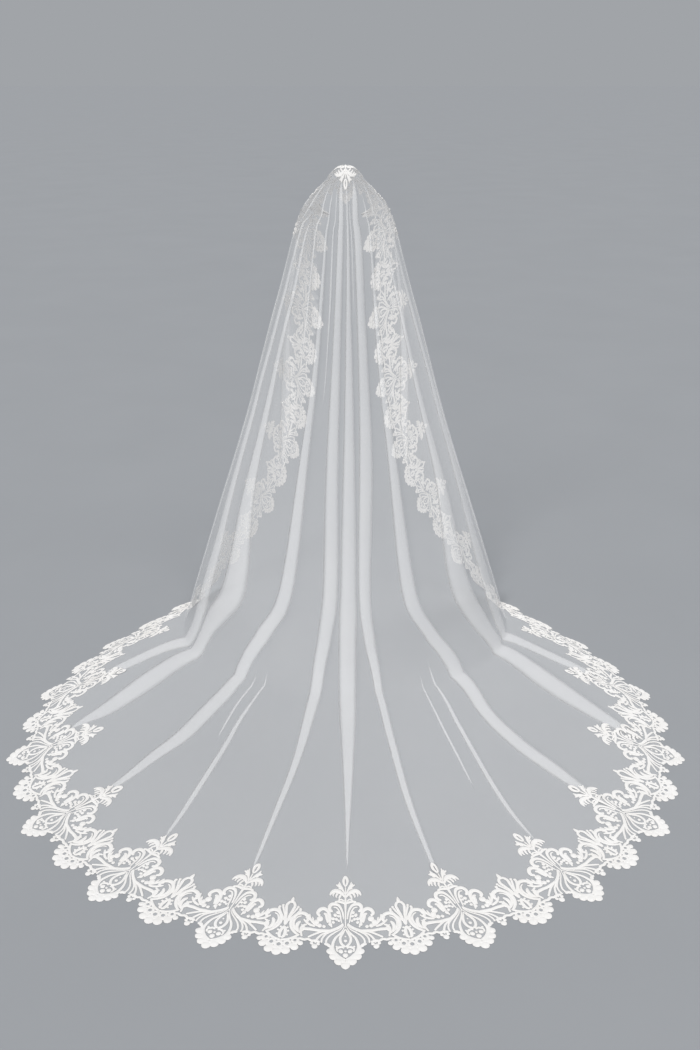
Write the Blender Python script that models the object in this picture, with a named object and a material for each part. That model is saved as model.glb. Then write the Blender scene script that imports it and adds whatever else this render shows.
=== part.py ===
"""A mantilla bridal veil, worn: an oval of tulle with a wide lace border, hung from the crown of
the head over the shoulders to the floor, where it spreads into a round train.

The veil is laid out flat first, as its maker cuts it, and then draped. A point of the flat cut is
given by its distance from the crown and its angle from the centre back. Metres, +Z up. The origin
is the crown, the train runs towards -Y, and the wearer faces +Y.
"""

import math

import bmesh
import bpy
import numpy as np
from mathutils import Vector
from mathutils.geometry import delaunay_2d_cdt

# The cut: an oval, held near its front end.
CROWN_HEIGHT = 1.65
CUT_LENGTH = 3.05
CUT_WIDTH = 2.60
FRONT_DROP = 0.20
HALF_LENGTH = CUT_LENGTH / 2
HALF_WIDTH = CUT_WIDTH / 2
CUT_CENTRE = HALF_LENGTH - FRONT_DROP

TULLE_WALL = 0.0012
LACE_WALL = 0.0016
TULLE_MARGIN = 0.001
GAP = 0.0003  # between two lace pieces
LIFT = 0.0010  # between the tulle and the lace
LEVEL_WITHIN = math.radians(3.0)  # two faces this near to level have no crease between them
FLOOR = -CROWN_HEIGHT
FLOOR_LINE = 1.76  # cloth from the crown to where it meets the floor
TULLE_WHITE = (0.93, 0.93, 0.94)
LACE_WHITE = (0.96, 0.95, 0.93)

# How the cloth falls, as (distance out from the crown's axis, height above the floor).
BACK_FALL = ((0, 1.65), (0.02, 1.646), (0.036, 1.636), (0.068, 1.595), (0.098, 1.50),
             (0.125, 1.30), (0.16, 0.90), (0.25, 0.50), (0.37, 0.19), (0.45, 0.05), (0.53, 0.0),
             (0.70, 0.0))
SIDE_FALL = ((0, 1.65), (0.02, 1.646), (0.035, 1.636), (0.087, 1.580), (0.137, 1.522),
             (0.160, 1.460), (0.218, 1.245), (0.328, 0.883), (0.475, 0.428), (0.56, 0.175),
             (0.61, 0.04), (0.67, 0.0), (0.80, 0.0))
FRONT_FALL = ((0, 1.65), (0.02, 1.646), (0.036, 1.636), (0.078, 1.592), (0.112, 1.53),
              (0.165, 1.30), (0.21, 0.90), (0.275, 0.46), (0.35, 0.16), (0.39, 0.04),
              (0.45, 0.0), (0.56, 0.0))

# How far round from the centre back the veil reaches, as (cloth from the crown, degrees).
WRAP = ((0.0, 180), (0.20, 180), (0.30, 168), (0.45, 162), (0.70, 160), (0.95, 158), (1.20, 151),
        (1.45, 140), (1.65, 127), (1.76, 117), (1.95, 108))

# A ring shares its cloth out evenly up to the first distance, and by the fan past the second.
EVEN_UNTIL = 0.6
FANNED_BEYOND = 1.5
RING_STEPS = 72
PAST_EDGE = 1.02  # a ring goes this much past its edge, so that normals can be taken there

# The train's edge on the floor, as (distance to the side, distance behind the crown).
TRAIN_EDGE = ((0, 1.587), (0.347, 1.525), (0.62, 1.40), (0.85, 1.20), (1.0, 0.95), (1.05, 0.70),
              (1.02, 0.48), (0.93, 0.27), (0.79, 0.07), (0.68, -0.07), (0.588, -0.195))

# Where the cloth meets the floor, as (share of the train's edge, share of the floor line).
FAN = ((0, 0), (0.134, 0.10), (0.225, 0.22), (0.383, 0.41), (0.52, 0.60), (0.668, 0.74), (1, 1))

# The largest folds of each half, as (angle in the cut, degrees; width on the floor line; height;
# cloth from the crown where it starts; how far it stops short of the edge).
FOLDS = ((6.0, 0.060, 0.010, 0.12, 0.28), (11.0, 0.040, 0.008, 0.34, 0.34),
         (15.8, 0.080, 0.012, 0.18, 0.25), (23.2, 0.085, 0.012, 0.24, 0.26),
         (28.2, 0.080, 0.012, 0.22, 0.27), (36.0, 0.060, 0.009, 0.30, 0.25),
         (46.0, 0.075, 0.010, 0.24, 0.24), (60.0, 0.090, 0.012, 0.18, 0.23),
         (78.0, 0.100, 0.013, 0.15, 0.22))
CENTRE_FOLD = (0.0, 0.100, 0.012, 0.12, 0.27)
LEAST_FOLD = math.radians(0.5)  # half a fold's angle where it starts and ends
FOLD_RISE = 0.5  # cloth over which a fold grows to its full size
FOLD_FADE = 0.75  # cloth over which it runs out
FOLD_TOP = 0.5  # share of a fold's width that each of its slopes takes
# Rings of the tulle's own points, and how far apart these are on a ring that reaches up to a
# distance, in degrees.
RING_LEVELS = (0.05, 0.11, 0.19, 0.32, 0.52, 0.80, 1.12, 1.42, 1.60, 1.70, 1.79, 2.05)
RING_SPACES = ((0.1, 30), (0.3, 20), (1.9, 11))
CLEAR_OF_FOLD = 0.0225  # no ring point is nearer to a fold than this

# The lace border: large and small motifs by turns. Its places are (along the edge, in from it).
REPEATS = 28
LARGE_EDGE = ((0.0, 0.0), (0.030, 0.015), (0.047, 0.056), (0.068, 0.046), (0.092, 0.060))
LARGE_TOP = ((0.0, 0.270), (0.012, 0.250), (0.028, 0.246), (0.014, 0.219), (0.043, 0.211),
             (0.025, 0.192), (0.062, 0.184), (0.074, 0.158), (0.062, 0.138), (0.102, 0.130),
             (0.088, 0.088))
SMALL_EDGE = ((0.0, 0.016), (0.036, 0.029), (0.055, 0.056))
SMALL_TOP = ((0.0, 0.188), (0.014, 0.158), (0.032, 0.154), (0.050, 0.118), (0.050, 0.086))
# Gaps through the lace, as (aside of the motif's middle, in from the edge, half width, half
# height, lean in degrees, sides), the largest first. One off the middle is on both sides.
LARGE_GAPS = ((0.045, 0.160, 0.018, 0.015, 0, 4), (0.0, 0.046, 0.014, 0.020, 0, 4),
              (0.062, 0.095, 0.008, 0.020, -62, 4), (0.024, 0.104, 0.008, 0.022, -28, 4))
SMALL_GAPS = ((0.025, 0.102, 0.014, 0.014, 0, 4),)

SEAM_PAST_MOTIF = 0.003
CLEAR_OF_SEAM = 0.0015  # outline points nearer than this to a seam are left out

# Lace pieces of each half, as (name, last large motif counted from the centre back).
LACE_RUNS = (("lace_train_back", 2), ("lace_train", 8), ("lace_front", 12), ("lace_crown", 14))

CUT_ANGLES = np.radians(np.linspace(0, 180, 2401))


def smooth_path(table, steps=14):
    """The table's points joined by a smooth curve through all of them, as dense points."""
    rows = np.array(table, float)
    ends = np.vstack([2 * rows[0] - rows[1], rows, 2 * rows[-1] - rows[-2]])
    share = np.linspace(0, 1, steps, endpoint=False)[:, None]
    spans = []
    for a, b, c, d in zip(ends, ends[1:], ends[2:], ends[3:]):
        spans.append(0.5 * (2 * b + (c - a) * share + (2 * a - 5 * b + 4 * c - d) * share**2
                            + (3 * b - a - 3 * c + d) * share**3))
    return np.vstack(spans + [rows[-1:]])


def lengths_of(path):
    return np.concatenate([[0], np.cumsum(np.linalg.norm(np.diff(path, axis=0), axis=1))])


def read_table(table, at):
    """A two-column table read smoothly: the second column where the first is at."""
    path = smooth_path(table)
    return np.interp(at, path[:, 0], path[:, 1])


def edge_distance(angle):
    """Cloth from the crown to the cut's edge, at an angle from the centre back."""
    across = (np.cos(angle) / HALF_LENGTH) ** 2 + (np.sin(angle) / HALF_WIDTH) ** 2
    along = -2 * CUT_CENTRE * np.cos(angle) / HALF_LENGTH**2
    rest = (CUT_CENTRE / HALF_LENGTH) ** 2 - 1
    return (-along + np.sqrt(along**2 - 4 * across * rest)) / (2 * across)


EDGE_DISTANCES = edge_distance(CUT_ANGLES)
EDGE_POINTS = np.stack([EDGE_DISTANCES * np.sin(CUT_ANGLES),
                        EDGE_DISTANCES * np.cos(CUT_ANGLES)], axis=1)
EDGE_LENGTHS = lengths_of(EDGE_POINTS)
HALF_EDGE = EDGE_LENGTHS[-1]
PITCH = 2 * HALF_EDGE / REPEATS


def edge_angle(distance):
    """The angle at which the cut's edge lies at this distance from the crown."""
    return np.interp(-distance, -EDGE_DISTANCES, CUT_ANGLES)


FRONT_ANGLE = float(edge_angle(FLOOR_LINE))
TRAIN_LENGTH = float(np.interp(FRONT_ANGLE, CUT_ANGLES, EDGE_LENGTHS))


def edge_share(angle):
    """Share of the train's edge from the centre back, past 1 on the hanging fronts."""
    return np.interp(angle, CUT_ANGLES, EDGE_LENGTHS) / TRAIN_LENGTH


def fan_share(angle):
    share = edge_share(angle)
    return np.where(share < 1, read_table(FAN, share), share)


FALLS = []
for fall_table in (BACK_FALL, SIDE_FALL, FRONT_FALL):
    fall_path = smooth_path(fall_table)
    FALLS.append((lengths_of(fall_path), fall_path[:, 0], np.maximum(fall_path[:, 1], 0)))


def fall_at(which, distance):
    lengths, out, height = FALLS[which]
    return np.interp(distance, lengths, out), np.interp(distance, lengths, height)


def ring_place(distance, turn):
    """The place on the hanging form at this much cloth from the crown and this turn round."""
    back, back_height = fall_at(0, distance)
    side, side_height = fall_at(1, distance)
    front, front_height = fall_at(2, distance)
    ahead = np.cos(turn) < 0
    depth = np.where(ahead, front, back)
    height = np.where(ahead, front_height, back_height)
    x = side * np.sin(turn)
    y = -depth * np.cos(turn)
    sideways = np.sin(turn) ** 2
    return x, y, side_height * sideways + height * (1 - sideways) - CROWN_HEIGHT


def hang(distance, angle):
    """The hanging form. Each ring is shared out evenly high up, and fanned near the floor."""
    reach = np.radians(read_table(WRAP, distance))
    last = np.maximum(edge_angle(distance), 1e-6)
    even = angle / last
    fanned = fan_share(angle) / fan_share(last)
    settle = np.clip((distance - EVEN_UNTIL) / (FANNED_BEYOND - EVEN_UNTIL), 0, 1)
    settle = settle * settle * (3 - 2 * settle)
    share = np.clip(even + (fanned - even) * settle, 0, PAST_EDGE)
    steps = np.linspace(0, PAST_EDGE, RING_STEPS)
    turns = reach[:, None] * steps
    x, y, _ = ring_place(distance[:, None], turns)
    run = np.cumsum(np.hypot(np.diff(x, axis=1), np.diff(y, axis=1)), axis=1)
    run = np.hstack([np.zeros((len(run), 1)), run])
    whole = np.array([np.interp(1, steps, row) for row in run])
    turn = np.array([np.interp(want, row, line)
                     for want, row, line in zip(share * whole, run, turns)])
    return np.stack(ring_place(distance, turn), axis=1)


TRAIN_PATH = smooth_path(TRAIN_EDGE)
TRAIN_RUN = lengths_of(TRAIN_PATH)


def floor_place(distance, angle):
    """The train: each line from the crown leaves the floor line smoothly and meets the edge."""
    line = np.full_like(distance, FLOOR_LINE)
    step = 0.02
    start = hang(line, angle)
    lead = (start - hang(line - step, angle))[:, :2] / step
    share = np.clip(edge_share(angle), 0, 1) * TRAIN_RUN[-1]
    end = np.stack([np.interp(share, TRAIN_RUN, TRAIN_PATH[:, 0]),
                    -np.interp(share, TRAIN_RUN, TRAIN_PATH[:, 1])], axis=1)
    reach = np.maximum(edge_distance(angle) - FLOOR_LINE, 1e-6)
    part = ((distance - FLOOR_LINE) / reach)[:, None]
    chord = end - start[:, :2]
    size = np.linalg.norm(chord, axis=1, keepdims=True)
    lead /= np.maximum(np.linalg.norm(lead, axis=1, keepdims=True), 1e-9)
    toward = (lead * chord).sum(axis=1, keepdims=True) / np.maximum(size, 1e-9)
    lead = lead * size * np.clip(toward, 0, 1) ** 3
    plan = (start[:, :2] * (2 * part**3 - 3 * part**2 + 1) + end * (3 * part**2 - 2 * part**3)
            + lead * (part**3 - 2 * part**2 + part) + chord * (part**3 - part**2))
    return np.column_stack([plan, np.full(len(plan), FLOOR)])


def form(distance, angle):
    """The veil's form without its folds. A negative angle is on the left."""
    side = np.where(angle < 0, -1.0, 1.0)
    turn = np.abs(angle)
    place = hang(np.minimum(distance, FLOOR_LINE), turn)
    laid = (distance > FLOOR_LINE) & (turn < FRONT_ANGLE)
    if laid.any():
        place[laid] = floor_place(distance[laid], turn[laid])
    place[:, 0] *= side
    return place


def outward(distance, angle):
    """The form's normal, which points away from the wearer and up on the train."""
    step = 0.004
    wide = step / np.maximum(distance, 0.02)
    along = form(distance + step, angle) - form(np.maximum(distance - step, 0), angle)
    across = form(distance, angle + wide) - form(distance, angle - wide)
    normal = np.cross(along, across)
    size = np.linalg.norm(normal, axis=1, keepdims=True)
    normal = np.where(size > 1e-12, normal / np.maximum(size, 1e-12), [0, 0, 1])
    return np.where(distance[:, None] < 0.03, [0, 0, 1], normal)


def all_folds():
    rows = [CENTRE_FOLD]
    for row in FOLDS:
        rows += [row, (-row[0],) + row[1:]]
    return rows


def fold_end(row):
    return float(edge_distance(math.radians(abs(row[0])))) - row[4]


def fold_size(row, distance):
    """Half the fold's angle in the cut and its height, at a distance from the crown."""
    width, height, start = row[1:4]
    end = fold_end(row)
    rise = np.clip((distance - start) / FOLD_RISE, 0, 1)
    fade = np.clip((end - distance) / min(FOLD_FADE, end - start), 0, 1)
    return LEAST_FOLD + width / 2 / FLOOR_LINE * rise * fade, height * rise * fade**0.6


def fold_levels(row):
    """The distances of a fold's own points: its two ends and the rings between them."""
    start, end, apart = row[3], fold_end(row), 0.03
    return [start] + [r for r in RING_LEVELS if start + apart < r < end - apart] + [end]


def fold_on(row, distance):
    return (distance > row[3] + 1e-6) & (distance < fold_end(row) - 1e-6)


def beside_fold(level, angle):
    """Whether a fold's own points are this near already. The angle is in degrees."""
    for row in all_folds():
        if fold_on(row, level):
            half = float(fold_size(row, level)[0]) + CLEAR_OF_FOLD / level
            if abs(angle - row[0]) < math.degrees(half):
                return True
    return False


def fold_crest(row, distance, angle):
    """How high a fold stands at points of the cut: two slopes and a flat top between them."""
    half, height = fold_size(row, distance)
    aside = np.abs(angle - math.radians(row[0])) / half
    crest = np.clip((1.02 - aside) / FOLD_TOP, 0, 1) * (aside < 1)
    return height * crest * fold_on(row, distance)


def flat(distance, angle):
    """A point of the flat cut."""
    return np.stack([distance * np.sin(angle), distance * np.cos(angle)], axis=-1)


def edge_places(places):
    """Flat points from (run along the edge from the centre back, distance in from it)."""
    run, deep = np.array(places, float).T
    side = np.where(run < 0, -1.0, 1.0)
    run = np.abs(run)
    past = run > HALF_EDGE
    run = np.where(past, 2 * HALF_EDGE - run, run)
    side = np.where(past, -side, side)
    point = np.stack([np.interp(run, EDGE_LENGTHS, EDGE_POINTS[:, 0]),
                      np.interp(run, EDGE_LENGTHS, EDGE_POINTS[:, 1])], axis=1)
    middle = point - [0, CUT_CENTRE]
    inward = -middle / [HALF_WIDTH**2, HALF_LENGTH**2]
    inward /= np.linalg.norm(inward, axis=1, keepdims=True)
    point = point + inward * deep[:, None]
    return point * np.stack([side, np.ones_like(side)], axis=1)


def motif_side(centre, rows, leftward):
    """One half of a motif's outline, in order along the edge."""
    if leftward:
        return [(centre - a, deep) for a, deep in reversed(rows)]
    return [(centre + a, deep) for a, deep in rows[1:]]


def border_line(large, small, first, last):
    """A line along the border: half of each motif, then the next, for motifs first to last."""
    line = []
    for k in range(first, last + 1):
        line += motif_side(k * PITCH, large, True) + motif_side(k * PITCH, large, False)
        line += motif_side((k + 0.5) * PITCH, small, True)
        line += motif_side((k + 0.5) * PITCH, small, False)
    return line


def seam(count):
    """Where a lace piece ends: past the small motif that follows large motif number count."""
    return (count + 0.5) * PITCH + SMALL_EDGE[-1][0] + SEAM_PAST_MOTIF


def gap_loops(first, last):
    """The gaps of the motifs first to last."""
    loops = []
    for k in range(first, last + 1):
        for centre, table in ((k * PITCH, LARGE_GAPS), ((k + 0.5) * PITCH, SMALL_GAPS)):
            for aside, deep, wide, high, lean, count in table:
                for side in ((1, -1) if aside else (1,)):
                    place = (centre + aside * side, deep)
                    loops.append(gap_loop(place, wide, high, lean * side, count))
    return loops


def gap_loop(place, wide, high, lean, count):
    """One gap: a leaning oval with few sides."""
    slant = math.radians(lean)
    loop = []
    for k in range(count):
        turn = math.radians(90 + 360 / count * k)
        a, b = wide * math.cos(turn), high * math.sin(turn)
        loop.append((place[0] + a * math.cos(slant) + b * math.sin(slant),
                     place[1] - a * math.sin(slant) + b * math.cos(slant)))
    return loop


def inside(points, loops):
    """Which points lie inside the loops, holes counted out."""
    found = np.zeros(len(points), bool)
    x, y = points.T
    for loop in loops:
        for (ax, ay), (bx, by) in zip(loop, np.roll(loop, -1, axis=0)):
            crosses = (ay > y) != (by > y)
            if ay != by:
                found ^= crosses & (x < ax + (y - ay) * (bx - ax) / (by - ay))
    return found


def turned_area(a, b, c):
    """Twice the area of flat triangles, above 0 where their corners run anticlockwise."""
    return (b[:, 0] - a[:, 0]) * (c[:, 1] - a[:, 1]) - (b[:, 1] - a[:, 1]) * (c[:, 0] - a[:, 0])


def triangulate(loops, lines=(), dots=()):
    """Triangles that fill the loops, with the lines as edges and the dots as corners."""
    points, edges = [], []
    for loop in loops:
        start = len(points)
        points += [Vector(p) for p in loop]
        edges += [(start + k, start + (k + 1) % len(loop)) for k in range(len(loop))]
    for line in lines:
        start = len(points)
        points += [Vector(p) for p in line]
        edges += [(start + k, start + k + 1) for k in range(len(line) - 1)]
    points += [Vector(p) for p in dots]
    found = delaunay_2d_cdt(points, edges, [], 0, 1e-4)
    corners = np.array([tuple(p) for p in found[0]])
    faces = np.array([tuple(f) for f in found[2]])
    a, b, c = corners[faces[:, 0]], corners[faces[:, 1]], corners[faces[:, 2]]
    turned = turned_area(a, b, c) < 0
    faces[turned] = faces[turned][:, ::-1]
    faces = faces[inside((a + b + c) / 3, loops)]
    used, faces = np.unique(faces, return_inverse=True)
    return corners[used], faces.reshape(-1, 3)


def rim_of(faces):
    """The directed edges that only one face has."""
    edges = {(int(f[k]), int(f[(k + 1) % 3])) for f in faces for k in range(3)}
    return [edge for edge in edges if edge[::-1] not in edges]


def add_wall(name, lower, upper, faces, colour, collection):
    """A closed solid between two surfaces with the same faces."""
    count = len(lower)
    made = bmesh.new()
    dots = [made.verts.new(p) for p in np.vstack([lower, upper])]
    for a, b, c in faces.tolist():
        made.faces.new((dots[a], dots[c], dots[b]))
        made.faces.new((dots[a + count], dots[b + count], dots[c + count]))
    for a, b in rim_of(faces):
        made.faces.new((dots[a], dots[b], dots[b + count], dots[a + count]))
    bmesh.ops.triangulate(made, faces=[f for f in made.faces if len(f.verts) > 3])
    bmesh.ops.recalc_face_normals(made, faces=made.faces)
    if made.calc_volume(signed=True) < 0:
        bmesh.ops.reverse_faces(made, faces=made.faces)
    mesh = bpy.data.meshes.new(name)
    made.to_mesh(mesh)
    made.free()
    mesh.shade_smooth()
    mesh.set_sharp_from_angle(angle=LEVEL_WITHIN)
    mesh.materials.append(cloth_material(name, colour))
    obj = bpy.data.objects.new(name, mesh)
    collection.objects.link(obj)
    return obj


def cloth_material(name, colour):
    material = bpy.data.materials.new(name)
    material.use_nodes = True
    shader = material.node_tree.nodes["Principled BSDF"]
    shader.inputs["Base Color"].default_value = (*colour, 1)
    shader.inputs["Roughness"].default_value = 0.85
    shader.inputs["Metallic"].default_value = 0
    return material


def tulle_loop():
    """The tulle's own edge, cut along the lace's scallops just outside them."""
    line = border_line(LARGE_EDGE, SMALL_EDGE, 0, REPEATS - 1)
    start = line.index((0.0, LARGE_EDGE[0][1]))
    ordered = [(run % (2 * HALF_EDGE), deep - TULLE_MARGIN) for run, deep in line]
    return edge_places(ordered[start:] + ordered[:start])


def ring_dots():
    """The tulle's points between the folds, in rings, and the crown."""
    dots = []
    for level in RING_LEVELS:
        last = math.degrees(float(edge_angle(level)))
        space = [space for reach, space in RING_SPACES if level <= reach][:1]
        count = 2 * max(2, round(last / space[0])) if space else 0
        for k in range(-count // 2 + 1, count // 2):
            angle = 2 * k * last / count
            if not beside_fold(level, angle):
                dots.append(flat(level, math.radians(angle)))
    return dots + [(0, 0)]


def tulle_surface():
    """The tulle's flat points, its faces, and the draped underside with its folds."""
    lines = []
    for row in all_folds():
        levels = np.array(fold_levels(row))
        half, _ = fold_size(row, levels)
        middle = math.radians(row[0])
        for place in (-1, -0.5, 0.5, 1):
            lines.append(flat(levels, middle + half * place))
    corners, faces = triangulate([tulle_loop()], lines, ring_dots())
    distance = np.linalg.norm(corners, axis=1)
    angle = np.arctan2(corners[:, 0], corners[:, 1])
    base = form(distance, angle)
    lean = outward(distance, angle)
    for row in all_folds():
        base += lean * fold_crest(row, distance, angle)[:, None]
    base[:, 2] = np.maximum(base[:, 2], FLOOR)
    return corners, faces, base


def face_normals(points, faces):
    a, b, c = points[faces[:, 0]], points[faces[:, 1]], points[faces[:, 2]]
    across = np.cross(b - a, c - a)
    return across / np.maximum(np.linalg.norm(across, axis=1, keepdims=True), 1e-15)


def corner_normals(points, faces):
    """A normal at each point: its faces' normals, weighed by their angles there."""
    across = face_normals(points, faces)
    normals = np.zeros_like(points)
    for k in range(3):
        u = points[faces[:, (k + 1) % 3]] - points[faces[:, k]]
        v = points[faces[:, (k + 2) % 3]] - points[faces[:, k]]
        size = np.linalg.norm(u, axis=1) * np.linalg.norm(v, axis=1)
        wide = np.arccos(np.clip((u * v).sum(1) / np.maximum(size, 1e-15), -1, 1))
        np.add.at(normals, faces[:, k], across * wide[:, None])
    return normals / np.maximum(np.linalg.norm(normals, axis=1, keepdims=True), 1e-12)


def make_lace(corners, faces, base, normals, collection):
    """The border's pieces, made from the tulle's own points and moved out from them."""
    creased = creased_edges(corners, faces, base)
    low_shift, high_shift = TULLE_WALL + LIFT, TULLE_WALL + LIFT + LACE_WALL
    begin = None
    for name, count in LACE_RUNS:
        end = seam(count) if count < REPEATS // 2 else None
        for suffix, mirrored in lace_sides(name):
            loops = lace_loops(begin, end, mirrored)
            points, lace_faces = triangulate(loops, near_lines(creased, loops[0]))
            owner, weights = find_in(points, corners, faces)
            at = faces[owner]
            lifted = (base[at] * weights[:, :, None]).sum(axis=1)
            lean = (normals[at] * weights[:, :, None]).sum(axis=1)
            add_wall(name + suffix, lifted + lean * low_shift, lifted + lean * high_shift,
                     lace_faces, LACE_WHITE, collection)
            print(name + suffix, len(lace_faces), "flat triangles,", len(loops) - 1, "gaps")
        begin = end


def lace_sides(name):
    """The endings of a piece's name, and whether each is mirrored."""
    if name in ("lace_train", "lace_front"):
        return ("_left", True), ("_right", False)
    return (("", False),)


def lace_loops(begin, end, mirrored):
    """Outline and gaps of one lace piece. The first and last lie across the middle."""
    low = -end if begin is None else begin
    high = 2 * HALF_EDGE - begin if end is None else end
    low, high = low + GAP / 2, high - GAP / 2
    first, last = math.floor(low / PITCH) - 1, math.ceil(high / PITCH) + 1
    outer = between(border_line(LARGE_EDGE, SMALL_EDGE, first, last), low, high)
    inner = between(border_line(LARGE_TOP, SMALL_TOP, first, last), low, high)
    below, above = SMALL_EDGE[-1][1], SMALL_TOP[-1][1]
    outline = [(low, below)] + outer + [(high, below), (high, above)] + inner[::-1]
    gaps = [loop for loop in gap_loops(first, last)
            if low < min(p[0] for p in loop) and max(p[0] for p in loop) < high]
    loops = [outline + [(low, above)]] + gaps
    if mirrored:
        loops = [[(-run, deep) for run, deep in loop] for loop in loops]
    return [edge_places(loop) for loop in loops]


def between(line, low, high):
    return [p for p in line if low + CLEAR_OF_SEAM < p[0] < high - CLEAR_OF_SEAM]


def creased_edges(corners, faces, base):
    """The tulle's edges whose two faces aren't level, as flat segments."""
    across = face_normals(base, faces)
    level = math.cos(LEVEL_WITHIN)
    owner = {}
    lines = []
    for number, face in enumerate(faces.tolist()):
        for k in range(3):
            pair = tuple(sorted((face[k], face[(k + 1) % 3])))
            if pair in owner and across[owner[pair]] @ across[number] < level:
                lines.append(corners[list(pair)])
            owner[pair] = number
    return np.array(lines)


def near_lines(lines, outline):
    """The lines that reach into an outline's box."""
    low, high = outline.min(axis=0) - 0.01, outline.max(axis=0) + 0.01
    reach = ((lines.min(axis=1) < high) & (lines.max(axis=1) > low)).all(axis=1)
    return lines[reach]


def find_in(points, corners, faces):
    """The face that holds each flat point, or the nearest one, and the point's weights in it."""
    a, b, c = corners[faces[:, 0]], corners[faces[:, 1]], corners[faces[:, 2]]
    whole = turned_area(a, b, c)
    owners, weights = [], []
    for p in points:
        first = turned_area(np.array([p]), b, c) / whole
        second = turned_area(np.array([p]), c, a) / whole
        three = np.stack([first, second, 1 - first - second], axis=1)
        best = int(np.argmax(three.min(axis=1)))
        owners.append(best)
        weights.append(three[best])
    return np.array(owners), np.array(weights)


def main():
    for old in list(bpy.data.objects):
        bpy.data.objects.remove(old)
    collection = bpy.data.collections.new("bridal_veil")
    bpy.context.scene.collection.children.link(collection)

    corners, faces, base = tulle_surface()
    normals = corner_normals(base, faces)
    if normals[:, 2].mean() < 0:
        normals = -normals
    add_wall("tulle_panel", base, base + normals * TULLE_WALL, faces, TULLE_WHITE,
             collection)
    print("tulle", len(faces), "flat triangles")
    make_lace(corners, faces, base, normals, collection)


main()
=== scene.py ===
# %% [markdown]
# # A bridal veil of tulle and lace
#
# The real thing is one oval of fine nylon tulle, 3.05 m long and 2.60 m wide, with a corded lace
# border sewn all round its edge. It is pinned at the crown of the head. From there it falls over
# the shoulders to the floor, open in front, and spreads behind into a round train.
#
# The script follows the maker's order. The cut comes first, then the way the cloth hangs, then its
# folds, and then the lace, which is drawn flat, repeated along the edge and laid on the cloth.

# %% Load the fixed frame
import math

import bpy
import numpy as np
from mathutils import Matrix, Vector
from mathutils.geometry import delaunay_2d_cdt


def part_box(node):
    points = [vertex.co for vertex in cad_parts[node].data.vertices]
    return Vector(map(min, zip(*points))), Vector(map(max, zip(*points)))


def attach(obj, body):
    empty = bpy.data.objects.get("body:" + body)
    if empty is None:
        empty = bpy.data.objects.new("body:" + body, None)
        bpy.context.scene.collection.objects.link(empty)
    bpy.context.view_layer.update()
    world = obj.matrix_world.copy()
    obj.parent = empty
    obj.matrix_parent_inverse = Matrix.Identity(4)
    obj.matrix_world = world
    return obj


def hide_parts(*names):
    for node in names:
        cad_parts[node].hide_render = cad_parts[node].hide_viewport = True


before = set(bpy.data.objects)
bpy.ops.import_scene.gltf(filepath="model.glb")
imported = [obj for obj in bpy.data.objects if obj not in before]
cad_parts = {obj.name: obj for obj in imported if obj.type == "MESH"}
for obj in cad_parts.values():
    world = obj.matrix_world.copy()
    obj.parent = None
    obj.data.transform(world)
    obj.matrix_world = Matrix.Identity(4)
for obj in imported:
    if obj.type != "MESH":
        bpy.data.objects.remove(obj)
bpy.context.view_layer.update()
FLOOR = min(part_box(node)[0].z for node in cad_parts)
MM = 0.001
print("nodes:", sorted(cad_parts), "floor at", round(FLOOR, 4))

# %% [markdown]
# ## Camera
#
# The picture is taken from behind, from above head height, with the whole train in view. The
# camera stands straight behind the veil. The veil's middle line lies a few pixels left of the
# frame's own, and a very small shift of the lens gives that without turning the camera.

# %% Camera
IMAGE_HEIGHT = 1050  # of a picture that is 700 pixels wide
SENSOR = 36.0
FOCAL_PIXELS = 940.0
CAMERA_PLACE = (0.0, -3.15, 0.24)
CAMERA_PITCH = 25.3  # degrees down from level
AXIS_OFFSET_PIXELS = 4.5


def add_object(name, data):
    """An object for this data, in the scene."""
    obj = bpy.data.objects.new(name, data)
    bpy.context.scene.collection.objects.link(obj)
    return obj


def add_camera():
    camera = bpy.data.cameras.new("camera")
    camera.sensor_fit = "VERTICAL"
    camera.sensor_height = SENSOR
    camera.sensor_width = SENSOR
    camera.lens = FOCAL_PIXELS / IMAGE_HEIGHT * SENSOR
    camera.shift_x = AXIS_OFFSET_PIXELS / IMAGE_HEIGHT
    obj = add_object("camera", camera)
    obj.location = CAMERA_PLACE
    obj.rotation_euler = (math.radians(90 - CAMERA_PITCH), 0, 0)
    bpy.context.scene.camera = obj
    return camera


camera = add_camera()
print("lens", round(camera.lens, 2), "mm, shift", round(camera.shift_x, 4))

# %% [markdown]
# ## The cut
#
# A point of the flat cloth is given by its distance from the crown and its angle from the centre
# back, because the cloth is held at one point and everything hangs from there. The crown sits
# 0.20 m in from the front end of the oval.

# %% The flat oval and its edge
CROWN_HEIGHT = -FLOOR
CUT_LENGTH, CUT_WIDTH, FRONT_DROP = 3.05, 2.60, 0.20
HALF_LENGTH, HALF_WIDTH = CUT_LENGTH / 2, CUT_WIDTH / 2
CUT_CENTRE = HALF_LENGTH - FRONT_DROP
CUT_ANGLES = np.radians(np.linspace(0, 180, 2401))


def smooth_path(table, steps=14):
    """The table's points joined by a smooth curve through all of them, as dense points."""
    rows = np.array(table, float)
    ends = np.vstack([2 * rows[0] - rows[1], rows, 2 * rows[-1] - rows[-2]])
    share = np.linspace(0, 1, steps, endpoint=False)[:, None]
    spans = []
    for a, b, c, d in zip(ends, ends[1:], ends[2:], ends[3:]):
        spans.append(0.5 * (2 * b + (c - a) * share + (2 * a - 5 * b + 4 * c - d) * share**2
                            + (3 * b - a - 3 * c + d) * share**3))
    return np.vstack(spans + [rows[-1:]])


def lengths_of(path):
    """The length of a path up to each of its points."""
    return np.concatenate([[0], np.cumsum(np.linalg.norm(np.diff(path, axis=0), axis=1))])


def points_along(path, lengths, at):
    """Points of a path at these lengths along it."""
    return np.stack([np.interp(at, lengths, path[:, k]) for k in (0, 1)], axis=1)


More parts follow.
